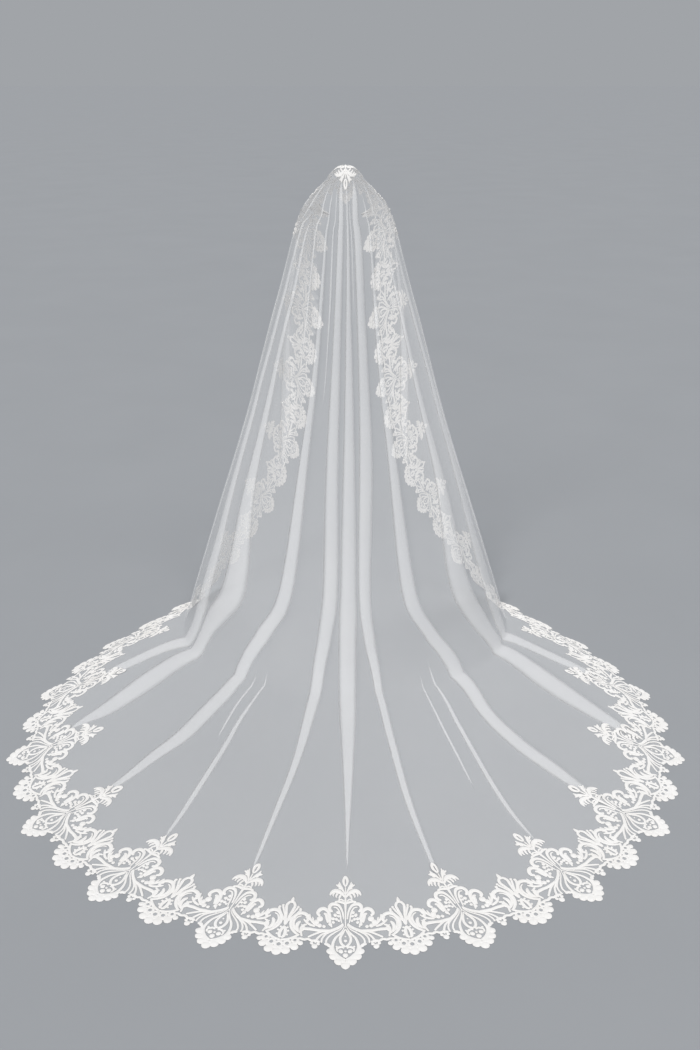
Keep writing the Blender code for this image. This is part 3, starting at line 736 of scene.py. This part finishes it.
# %% Strokes of the large motif
# Each stroke is (half widths along it, points). It is drawn on one side and mirrored.
LARGE_STROKES = {
    "tip loop": ((2.4, 3.8, 4.8, 4.6, 3.6), (
        (0, 239), (4, 245), (6.8, 255), (5.5, 264), (0, 274))),
    "upper leaf": ((1.6, 3.4, 5.6, 4.6), ((1.5, 213), (8, 225), (16, 237), (25, 245))),
    "upper leaf tip": ((3.4, 3.2, 2.0), ((15, 238), (19, 246), (21, 252))),
    "upper leaf lobe": ((3.4, 3.6, 2.2), ((17, 236), (26, 239), (32, 241))),
    "upper leaf fold": ((3.2, 3.0, 2.0), ((12, 229), (20, 231), (24, 231))),
    "lower leaf": ((2.4, 5.2, 7.4, 6.6, 4.8, 2.4), (
        (2, 203), (10, 213), (22, 220), (36, 220), (45, 213), (49, 203))),
    "lower leaf lobe one": ((4.0, 3.2, 2.0), ((34, 217), (39, 208), (38, 201))),
    "lower leaf lobe two": ((4.4, 3.6, 2.2), ((24, 215), (29, 206), (29, 198))),
    "lower leaf lobe three": ((4.0, 3.6, 2.4), ((14, 210), (19, 201), (20, 195))),
    "collar": ((4.6, 4.2, 3.8, 2.6), ((0, 184), (10, 186), (22, 187), (33, 184))),
    "inner scroll": ((2.2, 2.8, 3.4, 4.0, 4.8, 5.4, 5.6, 5.0, 3.6), (
        (5, 133), (7, 148), (11, 162), (19, 174), (31, 178), (42, 175), (47, 165), (43, 156),
        (36, 153))),
    "inner scroll vein": ((1.6, 2.4, 2.8, 2.8, 2.6, 1.8), (
        (10, 120), (13, 134), (15, 148), (20, 160), (27, 167), (36, 167))),
    "outer scroll": ((2.2, 3.6, 4.4, 4.8, 5.4, 5.6, 5.6, 5.2, 3.6), (
        (36, 104), (42, 118), (43, 134), (48, 149), (58, 158), (68, 158), (76, 151), (78, 141),
        (70, 136))),
    "outer scroll hook": ((2.2, 4.6, 5.2, 3.2), ((48, 116), (51, 130), (55, 142), (62, 143))),
    "spray rib": ((3.0, 3.6, 3.6, 2.4), ((74, 103), (88, 113), (97, 125), (100, 137))),
    "spray side": ((3.0, 3.6, 3.4, 2.4), ((80, 101), (95, 105), (106, 112), (114, 119))),
    "spray lobe": ((2.4, 3.0, 2.0), ((98, 126), (105, 123), (109, 126))),
    "spray heel": ((2.4, 2.8, 2.0), ((88, 112), (88, 121), (91, 129))),
    "long leaf": ((2.2, 3.4, 4.2, 4.2, 4.8, 3.4), (
        (26, 96), (46, 93), (70, 90), (90, 91), (106, 90), (116, 88))),
    "long leaf end": ((4.0, 4.2, 3.0), ((107, 90), (115, 82), (118, 75))),
    "long leaf lobe": ((3.4, 3.2, 2.0), ((105, 91), (112, 98), (117, 102))),
    "first stem": ((1.3, 2.0, 2.4, 2.8, 3.0, 2.6), (
        (6, 121), (20, 107), (40, 95), (64, 86), (82, 75), (94, 66))),
    "bud stem": ((1.3, 1.8, 2.2, 2.6, 3.0, 3.4), (
        (8, 117), (24, 101), (44, 89), (60, 79), (70, 65), (74, 52))),
    "third stem": ((1.2, 1.8, 2.0, 2.4, 2.6, 2.6), (
        (5, 119), (16, 105), (34, 93), (50, 81), (58, 67), (59, 54))),
    "fourth stem": ((1.2, 1.7, 2.0, 2.4, 2.6, 2.8), (
        (4, 117), (12, 103), (26, 91), (39, 79), (47, 65), (47, 51))),
    "window cord": ((1.2, 1.9, 2.5, 3.1, 3.6, 3.8, 3.8, 3.6, 3.6), (
        (2, 112), (8, 98), (16, 86), (25, 74), (30, 60), (31, 46), (26, 33), (14, 21), (0, 14))),
    "drop": ((1.4, 2.6, 3.4, 3.8, 3.6, 3.4), (
        (0, 105), (5, 94), (10.5, 84), (13.5, 73), (10, 60), (0, 51))),
    "edge cord": ((3.8, 3.6, 3.8, 3.6, 3.8, 3.4, 3.6), (
        (62, 55), (73, 59), (83, 57), (92, 61), (102, 58), (111, 60), (120, 57))),
    "shoulder pad line": ((5.0, 4.6, 3.6), ((37, 46), (44, 52), (52, 52))),
    "scallop band": ((5.4, 5.6, 5.6, 5.4, 4.8), ((0, 7), (13, 14), (24, 25), (32, 39), (35, 50))),
    "neck arch": ((2.4, 2.8, 2.2), ((4, 191), (13, 195), (23, 191))),
    "heart": ((2.4, 3.4, 3.0, 2.0), ((3, 47), (10, 50), (20, 44), (19, 34))),
}
# Strokes on the motif's own middle line, drawn once.
LARGE_MIDDLE = {
    "waist": ((1.6, 2.2, 2.8, 4.6), ((0, 108), (0, 134), (0, 164), (0, 184))),
    "finial rib": ((4.0, 2.6, 2.2), ((0, 184), (0, 206), (0, 238))),
}
# Round pads, as (half width, aside, in from the edge). One off the middle is on both sides.
LARGE_PADS = (
    (10.4, 0, -1.6), (9.8, 16, 6.6), (9.2, 28.5, 18.6), (8.6, 36.5, 32.6), (4.4, 0, 69),
    (2.4, 0, 82), (6.0, 11, 37), (6.4, 0, 27), (3.2, 0, 39), (3.0, 21, 49), (7.4, 74, 42),
    (4.4, 66, 50), (4.4, 82, 50), (5.2, 22, 152), (5.4, 29, 143), (4.2, 20, 141), (4.8, 25, 131),
    (5.2, 34, 131), (4.0, 18, 127), (4.6, 33, 120), (5.4, 41, 113), (8.8, 70, 126),
    (7.6, 78, 115), (6.4, 69, 105), (5.0, 57, 104),
)
print(len(LARGE_STROKES) + len(LARGE_MIDDLE), "strokes and", len(LARGE_PADS), "pads")

# %% [markdown]
# ### The small motif
#
# A flower with three looped petals and a bud below it, on a row of rings, between two crescents
# that curl outwards.

# %% Strokes of the small motif
SMALL_STROKES = {
    "band line": ((3.4, 3.4, 3.4, 3.0), ((0, 49), (16, 53), (30, 61), (43, 72))),
    "scallop band": ((5.0, 5.2, 5.0, 4.4), ((0, 24), (19, 29), (35, 41), (47, 53))),
    "crescent": ((2.6, 3.8, 4.4, 4.8, 4.8, 4.8, 5.2, 5.4, 5.0, 3.6), (
        (42, 68), (27, 79), (17, 93), (14, 109), (20, 126), (32, 136), (45, 136), (55, 129),
        (57, 118), (50, 110))),
    "crescent vein": ((1.8, 2.6, 2.8, 2.8, 2.4, 1.8), (
        (39, 77), (28, 88), (22.5, 100), (22, 112), (28, 123), (38, 128))),
    "inner leaf": ((2.2, 4.4, 5.2, 3.0), ((39, 80), (33, 90), (32, 102), (38, 112))),
    "outer line": ((2.6, 3.2, 3.6, 3.4, 2.6), (
        (50, 66), (46, 77), (43, 89), (48, 100), (57, 104))),
    "bud": ((3.0, 4.4, 4.8, 4.2, 2.6), ((0, 56), (5, 60), (7, 70), (5, 81), (0, 92))),
    "middle petal": ((2.2, 2.8, 3.4, 4.4, 4.2, 3.6), (
        (2, 106), (4, 124), (9, 142), (12, 156), (7, 166), (0, 169))),
    "side petal out": ((2.0, 2.8, 3.2, 3.8, 3.4), (
        (4, 106), (14, 121), (24, 133), (31, 145), (27, 151))),
    "side petal in": ((1.8, 2.4, 2.8, 3.4), ((3, 109), (10, 127), (17, 142), (22, 152))),
}
SMALL_MIDDLE = {
    "hub": ((3.4, 6.2, 3.4), ((0, 94), (0, 103), (0, 114))),
    "tip bud": ((5.0, 5.4, 2.4), ((0, 164), (0, 174), (0, 184))),
}
SMALL_PADS = (
    (11.4, 0, 15), (10.8, 20, 20), (9.8, 38, 33), (6.8, 50, 46), (3.2, 13, 78), (3.0, 9, 88),
    (3.0, 13, 66), (4.2, 30, 148), (4.0, 22, 154),
)
# Rings, as (half width of the cord, half width, half height, aside, in from the edge).
SMALL_RINGS = ((3.4, 8.2, 8.2, 0, 36), (3.4, 7.8, 7.8, 19, 41), (3.2, 6.8, 6.8, 35.5, 53))
print(len(SMALL_STROKES) + len(SMALL_MIDDLE), "strokes and", len(SMALL_PADS), "pads")

# %% [markdown]
# ### From strokes to curves
#
# Each stroke becomes one spline of a curve object, and the half width becomes the radius of its
# points. The ends are rounded off by letting the radius shrink as a circle would. A pad is a
# stroke as long as it is wide, and a ring is a closed one.

# %% Splines with a radius at each point
STROKE_STEP = 3.2  # mm
BLUNT_END = 0.12  # least that is left, at a stroke's end, of its width squared
NEAR_END = 0.35  # share of the half width at which each end has one more point
PAD_END = 0.18  # share of a pad's width that is left at its ends
WIDE_PAD = 5.0  # a pad wider than this has one point more


def stroke_spline(widths, points):
    """Points along one stroke, in mm, and half its width at each."""
    path = smooth_path(points, 12)
    run = lengths_of(path)
    at = np.linspace(0, run[-1], max(4, round(run[-1] / STROKE_STEP)) + 1)
    first, last = widths[0], widths[-1]
    ends = NEAR_END * first, run[-1] - NEAR_END * last
    at = np.concatenate([[0, ends[0]], at[1:-1], [ends[1], run[-1]]])
    at = np.unique(np.clip(at, 0, run[-1]))
    place = points_along(path, run, at)
    half = np.interp(at / run[-1], np.linspace(0, 1, len(widths)), widths)
    near = np.minimum(np.minimum(at / first, (run[-1] - at) / last), 1)
    return place, half * np.sqrt(np.clip(1 - (1 - near) ** 2, BLUNT_END, 1))


def pad_spline(half, aside, deep):
    turn = np.linspace(0, math.pi, 7 if half > WIDE_PAD else 6)
    place = np.stack([aside - half * np.cos(turn), np.full(len(turn), deep)], axis=1)
    return place, np.maximum(half * np.sin(turn), PAD_END * half)


def ring_spline(cord, wide, high, aside, deep):
    count = max(10, round(2 * math.pi * max(wide, high) / STROKE_STEP))
    turn = np.linspace(0, 2 * math.pi, count, endpoint=False)
    place = np.stack([aside + wide * np.cos(turn), deep + high * np.sin(turn)], axis=1)
    return place, np.full(count, cord)


def add_spline(curve, place, half, closed=False):
    spline = curve.splines.new("POLY")
    spline.points.add(len(place) - 1)
    for point, (aside, deep), radius in zip(spline.points, place, half):
        point.co = (aside * MM, deep * MM, 0, 1)
        point.radius = radius * MM
    spline.use_cyclic_u = closed


def both_sides(aside):
    """What lies off the motif's middle line is on both sides of it."""
    return (aside, -aside) if aside else (0,)


def make_motif(name, sides, middle, pads, rings=()):
    """One motif as a curve object, in metres, with a spline for each stroke, pad and ring."""
    curve = bpy.data.curves.new(name, "CURVE")
    curve.dimensions = "3D"
    curve.twist_mode = "Z_UP"
    for widths, points in sides.values():
        place, half = stroke_spline(widths, points)
        add_spline(curve, place, half)
        add_spline(curve, place * [-1, 1], half)
    for widths, points in middle.values():
        add_spline(curve, *stroke_spline(widths, points))
    for half, aside, deep in pads:
        for side in both_sides(aside):
            add_spline(curve, *pad_spline(half, side, deep))
    for cord, wide, high, aside, deep in rings:
        for side in both_sides(aside):
            add_spline(curve, *ring_spline(cord, wide, high, side, deep), closed=True)
    return add_object(name, curve)


large_motif = make_motif("large_motif", LARGE_STROKES, LARGE_MIDDLE, LARGE_PADS)
small_motif = make_motif("small_motif", SMALL_STROKES, SMALL_MIDDLE, SMALL_PADS, SMALL_RINGS)
print("splines:", len(large_motif.data.splines), "and", len(small_motif.data.splines))

# %% [markdown]
# ### The tree that cords and repeats the motifs
#
# One group gives a spline a half-round section, with the flat side down on the net. A wide pad
# is hardly higher than a thin cord, because both are one layer of stitches over a core, so the
# height is pressed down: it goes towards a limit, however wide the stroke. The tree then sets
# both motifs along a line, one pitch apart.

# %% The group for one satin-stitched cord
def new_geometry_tree(name, inputs):
    tree = bpy.data.node_groups.new(name, "GeometryNodeTree")
    for label, kind in inputs:
        tree.interface.new_socket(label, in_out="INPUT", socket_type="NodeSocket" + kind)
    tree.interface.new_socket("Geometry", in_out="OUTPUT", socket_type="NodeSocketGeometry")
    return tree, tree.nodes.new("NodeGroupInput").outputs


def finish_tree(tree, geometry):
    tree.links.new(geometry, tree.nodes.new("NodeGroupOutput").inputs[0])
    print(tree.name, "has", len(tree.nodes), "nodes")


def make_cord_group():
    tree, given = new_geometry_tree("satin_cord", (
        ("Geometry", "Geometry"), ("Section points", "Int"), ("Rise limit", "Float")))
    arc = add_node(tree, "GeometryNodeCurveArc", {
        "Resolution": given["Section points"], "Radius": 1.0, "Start Angle": math.pi,
        "Sweep Angle": math.pi})
    section = add_node(tree, "GeometryNodeSetSplineCyclic", {
        "Geometry": arc.outputs["Curve"], "Cyclic": True})
    along = add_node(tree, "GeometryNodeSplineParameter")
    marked = add_node(tree, "GeometryNodeStoreNamedAttribute", {
        "Geometry": given["Geometry"], "Name": "along", "Value": along.outputs["Length"]},
        data_type="FLOAT", domain="POINT")
    width = add_node(tree, "GeometryNodeInputRadius")
    cord = add_node(tree, "GeometryNodeCurveToMesh", {
        "Curve": marked.outputs[0], "Profile Curve": section.outputs[0],
        "Scale": width.outputs[0], "Fill Caps": True})
    place = add_node(tree, "GeometryNodeInputPosition")
    parts = add_node(tree, "ShaderNodeSeparateXYZ", {0: place.outputs[0]})
    up = add_node(tree, "ShaderNodeMath", {0: parts.outputs["Z"], 1: 0.0}, operation="MAXIMUM")
    top, under = (add_node(tree, "ShaderNodeMath", {0: up.outputs[0], 1: given["Rise limit"]},
                           operation=kind) for kind in ("MULTIPLY", "ADD"))
    pressed = add_node(tree, "ShaderNodeMath", {0: top.outputs[0], 1: under.outputs[0]},
                       operation="DIVIDE")
    lower = add_node(tree, "ShaderNodeCombineXYZ", {
        0: parts.outputs["X"], 1: parts.outputs["Y"], 2: pressed.outputs[0]})
    laid = add_node(tree, "GeometryNodeSetPosition", {
        "Geometry": cord.outputs[0], "Position": lower.outputs[0]})
    finish_tree(tree, laid.outputs[0])
    return tree


satin_cord = make_cord_group()


# %% The tree for a length of border
BORDER_INPUTS = (
    ("Geometry", "Geometry"), ("Large motif", "Object"), ("Small motif", "Object"),
    ("Pitch", "Float"), ("First large", "Float"), ("Large count", "Int"),
    ("First small", "Float"), ("Small count", "Int"), ("Section points", "Int"),
    ("Rise limit", "Float"), ("Material", "Material"))


def make_border_tree():
    tree, given = new_geometry_tree("lace_border", BORDER_INPUTS)
    rows = add_node(tree, "GeometryNodeJoinGeometry")
    for kind in ("Large", "Small"):
        motif = add_node(tree, "GeometryNodeObjectInfo", {"Object": given[kind + " motif"]},
                         transform_space="ORIGINAL")
        cord = add_node(tree, "GeometryNodeGroup", {
            "Geometry": motif.outputs["Geometry"], "Section points": given["Section points"],
            "Rise limit": given["Rise limit"]}, node_tree=satin_cord)
        first = add_node(tree, "ShaderNodeMath", {
            0: given["First " + kind.lower()], 1: given["Pitch"]}, operation="MULTIPLY")
        start = add_node(tree, "ShaderNodeCombineXYZ", {0: first.outputs[0]})
        step = add_node(tree, "ShaderNodeCombineXYZ", {0: given["Pitch"]})
        line = add_node(tree, "GeometryNodeMeshLine", {
            "Count": given[kind + " count"], "Start Location": start.outputs[0],
            "Offset": step.outputs[0]}, mode="OFFSET")
        row = add_node(tree, "GeometryNodeInstanceOnPoints", {
            "Points": line.outputs[0], "Instance": cord.outputs[0]})
        tree.links.new(row.outputs[0], rows.inputs[0])
    real = add_node(tree, "GeometryNodeRealizeInstances", {"Geometry": rows.outputs[0]})
    done = add_node(tree, "GeometryNodeSetMaterial", {
        "Geometry": real.outputs[0], "Material": given["Material"]})
    finish_tree(tree, done.outputs[0])
    return tree


lace_border = make_border_tree()

# %% [markdown]
# ## Laying the lace on the veil
#
# The tree's result is a straight strip: x runs along the edge, y goes in from it and z is the
# height of the stitches. Each point is carried to its place in the flat oval, and from there to
# the drape, with its height along the cloth's own normal. A border bent in this way keeps its
# motifs' shapes, as the real one does where it is eased round the edge.

# %% One length of border
SECTION_POINTS = 5  # round a cord's half-round top
RISE_LIMIT = 1.6 * MM  # the height that the widest pads come near
LACE_REST = 1.0 * MM  # the lace's underside above the form, on the tulle
CRISP_TURN = math.radians(75)  # a sharper edge than this, as at a cord's flat side, stays crisp


def layers_under(distance, angle):
    """How far the tulle's pleats lift what lies on them."""
    lift = np.zeros(len(distance))
    for number, (start, end) in enumerate(PLEAT_ENDS):
        middle, half, reach, folded, ridge = pleat_at(number, distance)
        across = np.abs(angle - middle)
        near = (across < reach) & (distance > start) & (distance < end)
        over = np.clip((reach - across) / (reach - 0.9 * half), 0, 1)
        lift += np.where(near, folded * 2 * LAYER * over + ridge * crest(across / reach), 0)
    return lift


def run_tree(name, tree, values):
    """The tree's result as a plain mesh object, at the origin."""
    host = add_object(name + "_source", bpy.data.meshes.new(name + "_source"))
    modifier = host.modifiers.new("border", "NODES")
    modifier.node_group = tree
    for item in tree.interface.items_tree:
        if item.in_out == "INPUT" and item.name in values:
            modifier[item.identifier] = values[item.name]
    graph = bpy.context.evaluated_depsgraph_get()
    mesh = bpy.data.meshes.new_from_object(host.evaluated_get(graph),
                                           preserve_all_data_layers=True, depsgraph=graph)
    bpy.data.objects.remove(host)
    while mesh.materials[0] is None:  # the empty slot that comes with a generated mesh
        mesh.materials.pop(index=0)
    mesh.name = name
    return add_object(name, mesh)


def lay_on_veil(mesh):
    """Carry a flat strip of lace to the draped veil."""
    flat = np.empty(len(mesh.vertices) * 3)
    mesh.vertices.foreach_get("co", flat)
    flat = flat.reshape(-1, 3)
    distance, angle = flat_to_polar(edge_places(flat[:, 0], flat[:, 1]))
    height = LACE_REST + flat[:, 2] + layers_under(distance, angle)
    mesh.vertices.foreach_set("co", on_form(distance, angle, height).ravel())
    mesh.shade_smooth()
    mesh.set_sharp_from_angle(angle=CRISP_TURN)
    mesh.update()


def make_lace(name, first_large, large_count, first_small, small_count, material):
    obj = run_tree(name, lace_border, {
        "Large motif": large_motif, "Small motif": small_motif, "Pitch": float(PITCH),
        "First large": first_large, "Large count": large_count, "First small": first_small,
        "Small count": small_count, "Section points": SECTION_POINTS,
        "Rise limit": RISE_LIMIT, "Material": material})
    mesh = obj.data
    lay_on_veil(mesh)
    mesh.calc_loop_triangles()
    print(name, len(mesh.loop_triangles), "triangles, material", mesh.materials[0].name)
    return obj

# %% [markdown]
# ## Materials
#
# Colours are written as the hex values that a colour picker shows. One function turns them into
# the linear values that shaders work with.

# %% Colours, and what every material starts from
def linear(hex_colour):
    """An sRGB hex colour as linear red, green, blue and an alpha of 1."""
    values = []
    for k in (1, 3, 5):
        part = int(hex_colour[k:k + 2], 16) / 255
        values.append(part / 12.92 if part <= 0.04045 else ((part + 0.055) / 1.055) ** 2.4)
    return (*values, 1.0)


def new_material(name, finish):
    """A material with these values on its shader, and its node tree and the shader's sockets."""
    material = bpy.data.materials.new(name)
    material.use_nodes = True
    shader = material.node_tree.nodes["Principled BSDF"].inputs
    for socket, value in finish.items():
        shader[socket].default_value = value
    return material, material.node_tree, shader


def colour_in_patches(tree, shader, place, scale, detail, colours):
    """A base colour that drifts in soft patches between two others."""
    patches = add_node(tree, "ShaderNodeTexNoise", {
        "Vector": place, "Scale": scale, "Detail": detail})
    tint = add_node(tree, "ShaderNodeMix", {
        0: patches.outputs[0], 6: linear(colours[0]), 7: linear(colours[1])}, data_type="RGBA")
    tree.links.new(tint.outputs[2], shader["Base Color"])


BUMP_DEPTH = 0.2 * MM  # how far drawn threads stand up
print("the lace's lighter colour is", [round(v, 3) for v in linear("#F9F7F5")])

# %% [markdown]
# ### Tulle
#
# Bridal tulle is a hexagonal net of fine nylon. Its threads are 0.05 mm thick and its holes about
# 1 mm wide, so from where the camera stands it is a milky veil that hides a fifth of what is
# behind it. Cutting the holes would take hundreds of millions of faces. So the sheet lets light
# through evenly, and each layer over another makes it whiter, as on the real cloth. The net
# itself is a bump, drawn four times as coarse as it is, or it would not show at all.

# %% The tulle's material
NET_HOLE = 4.0 * MM  # the real one has holes of about 1 mm
NET_THREAD = 0.16  # how far a thread's slope reaches into a hole, as a share of the hole
TULLE_COVER = 0.21  # share of what is behind it that one layer hides


def make_tulle_material():
    material, tree, shader = new_material("soft_nylon_tulle", {
        "Alpha": TULLE_COVER, "Roughness": 0.62, "IOR": 1.53, "Sheen Weight": 0.35,
        "Sheen Roughness": 0.45})
    cut = add_node(tree, "ShaderNodeUVMap", uv_map="cut")
    net = add_node(tree, "ShaderNodeTexVoronoi", {
        "Vector": cut.outputs[0], "Scale": 1 / NET_HOLE, "Randomness": 0.15},
        feature="DISTANCE_TO_EDGE")
    threads = add_node(tree, "ShaderNodeMapRange", {
        "Value": net.outputs["Distance"], "From Min": 0.0, "From Max": NET_THREAD,
        "To Min": 1.0, "To Max": 0.0})
    bump = add_node(tree, "ShaderNodeBump", {
        "Height": threads.outputs[0], "Strength": 0.25, "Distance": BUMP_DEPTH})
    tree.links.new(bump.outputs[0], shader["Normal"])
    colour_in_patches(tree, shader, cut.outputs[0], scale=5.0, detail=3.0,
                      colours=("#F1F1F2", "#FBFAF8"))
    return material


tulle.data.materials.append(make_tulle_material())

# %% [markdown]
# ### Corded lace
#
# The cords are rayon satin stitch over a cotton core: off-white, soft, with a faint gloss where
# the threads lie side by side. The threads cross each cord, so the bump follows the length along
# the stroke, which the tree stored on the mesh. The real threads are 0.3 mm apart. They are drawn
# 1.5 mm apart so that a close view shows them.

# %% The lace's material
THREAD = 1.5 * MM  # the real ones are 0.3 mm apart
FIBRE_SCALE = 900.0  # fibres about 1 mm across, as the real ones are too fine to show


def make_lace_material():
    material, tree, shader = new_material("rayon_corded_lace", {
        "Roughness": 0.55, "IOR": 1.53, "Sheen Weight": 0.2, "Sheen Roughness": 0.4})
    along = add_node(tree, "ShaderNodeAttribute", attribute_name="along")
    turns = add_node(tree, "ShaderNodeMath", {0: along.outputs["Fac"], 1: 2 * math.pi / THREAD},
                     operation="MULTIPLY")
    wave = add_node(tree, "ShaderNodeMath", {0: turns.outputs[0]}, operation="SINE")
    place = add_node(tree, "ShaderNodeTexCoord")
    fibres = add_node(tree, "ShaderNodeTexNoise", {
        "Vector": place.outputs["Object"], "Scale": FIBRE_SCALE, "Detail": 2.0})
    height = add_node(tree, "ShaderNodeMath", {0: wave.outputs[0], 1: fibres.outputs[0]},
                      operation="ADD")
    bump = add_node(tree, "ShaderNodeBump", {
        "Height": height.outputs[0], "Strength": 0.35, "Distance": BUMP_DEPTH})
    tree.links.new(bump.outputs[0], shader["Normal"])
    colour_in_patches(tree, shader, place.outputs["Object"], scale=14.0, detail=4.0,
                      colours=("#EFEBE6", "#F9F7F5"))
    return material


lace_material = make_lace_material()

# %% [markdown]
# ## The lengths of lace
#
# The border has six lengths that meet at small motifs: the end of the train, its two sides, the
# two fronts and the part over the head. A left length has the same motifs as the right one, at
# the same distances from the centre back.

# %% Six lengths round the veil
# Each length is (node it stands for, first large motif, how many, first small motif, how many).
BORDER_LENGTHS = (
    ("lace_train_back", -2.0, 5, -2.5, 6), ("lace_train_right", 3.0, 6, 3.5, 6),
    ("lace_train_left", -8.0, 6, -8.5, 6), ("lace_front_right", 9.0, 4, 9.5, 4),
    ("lace_front_left", -12.0, 4, -12.5, 4), ("lace_crown", 13.0, 3, 13.5, 2))
border = {row[0]: make_lace(row[0] + "_cords", *row[1:], lace_material)
          for row in BORDER_LENGTHS}
for motif in (large_motif, small_motif):
    bpy.data.objects.remove(motif)

# %% What each piece stands for
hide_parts("tulle_panel")
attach(tulle, "root")
for node, cords in border.items():
    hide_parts(node)
    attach(cords, "root")
# The fine threads scatter on about as much light as they catch, so the sheet casts no shadow.
tulle.visible_shadow = False
print("pieces:", [tulle.name] + [cords.name for cords in border.values()])

# %% [markdown]
# ## The studio
#
# A white veil needs a floor that is pale but darker than itself, and soft light. The floor goes
# on far enough to meet the surroundings at the horizon, and both are equally bright, so that no
# line shows behind the veil from any side. The main light comes from behind the camera, a little
# to the left and low, so that the cloth that hangs is lit as much as the cloth that lies. A
# second one fills from the right. A third comes from the far side of the veil, so that the lace
# in front is white as well.

# %% Floor
FLOOR_REACH = 400.0
SURROUNDINGS = "#A1A4A8"


def make_floor():
    corners = [(x * FLOOR_REACH, y * FLOOR_REACH, FLOOR) for x, y in
               ((-1, -1), (1, -1), (1, 1), (-1, 1))]
    mesh = bpy.data.meshes.new("studio_floor")
    mesh.from_pydata(corners, [], [(0, 1, 2, 3)])
    material, tree, shader = new_material("matt_painted_floor", {
        "Roughness": 1.0, "Specular IOR Level": 0.0})
    place = add_node(tree, "ShaderNodeTexCoord")
    colour_in_patches(tree, shader, place.outputs["Object"], scale=1.5, detail=5.0,
                      colours=("#9B9DA0", "#A0A2A5"))
    mesh.materials.append(material)
    return add_object("studio_floor", mesh)


make_floor()


# %% Lights
def add_sun(name, turn, height, strength, spread):
    """A soft far light: turned round from the camera's side, and its height over the floor."""
    light = bpy.data.lights.new(name, "SUN")
    light.energy = strength
    light.angle = math.radians(spread)
    obj = add_object(name, light)
    obj.rotation_euler = (math.radians(90 - height), 0, math.radians(turn))


add_sun("key", turn=-32, height=38, strength=1.80, spread=22)
add_sun("fill", turn=48, height=45, strength=0.60, spread=30)
add_sun("back", turn=160, height=45, strength=0.85, spread=30)

world = bpy.data.worlds.new("pale_studio")
world.use_nodes = True
background = world.node_tree.nodes["Background"].inputs
background["Color"].default_value = linear(SURROUNDINGS)
background["Strength"].default_value = 1.0
bpy.context.scene.world = world
bpy.context.scene.view_settings.view_transform = "Standard"
# A ray that crosses the veil passes many layers of tulle, so it may go through more of them than
# Blender allows at first.
LAYERS_SEEN = 24
bpy.context.scene.cycles.transparent_max_bounces = LAYERS_SEEN
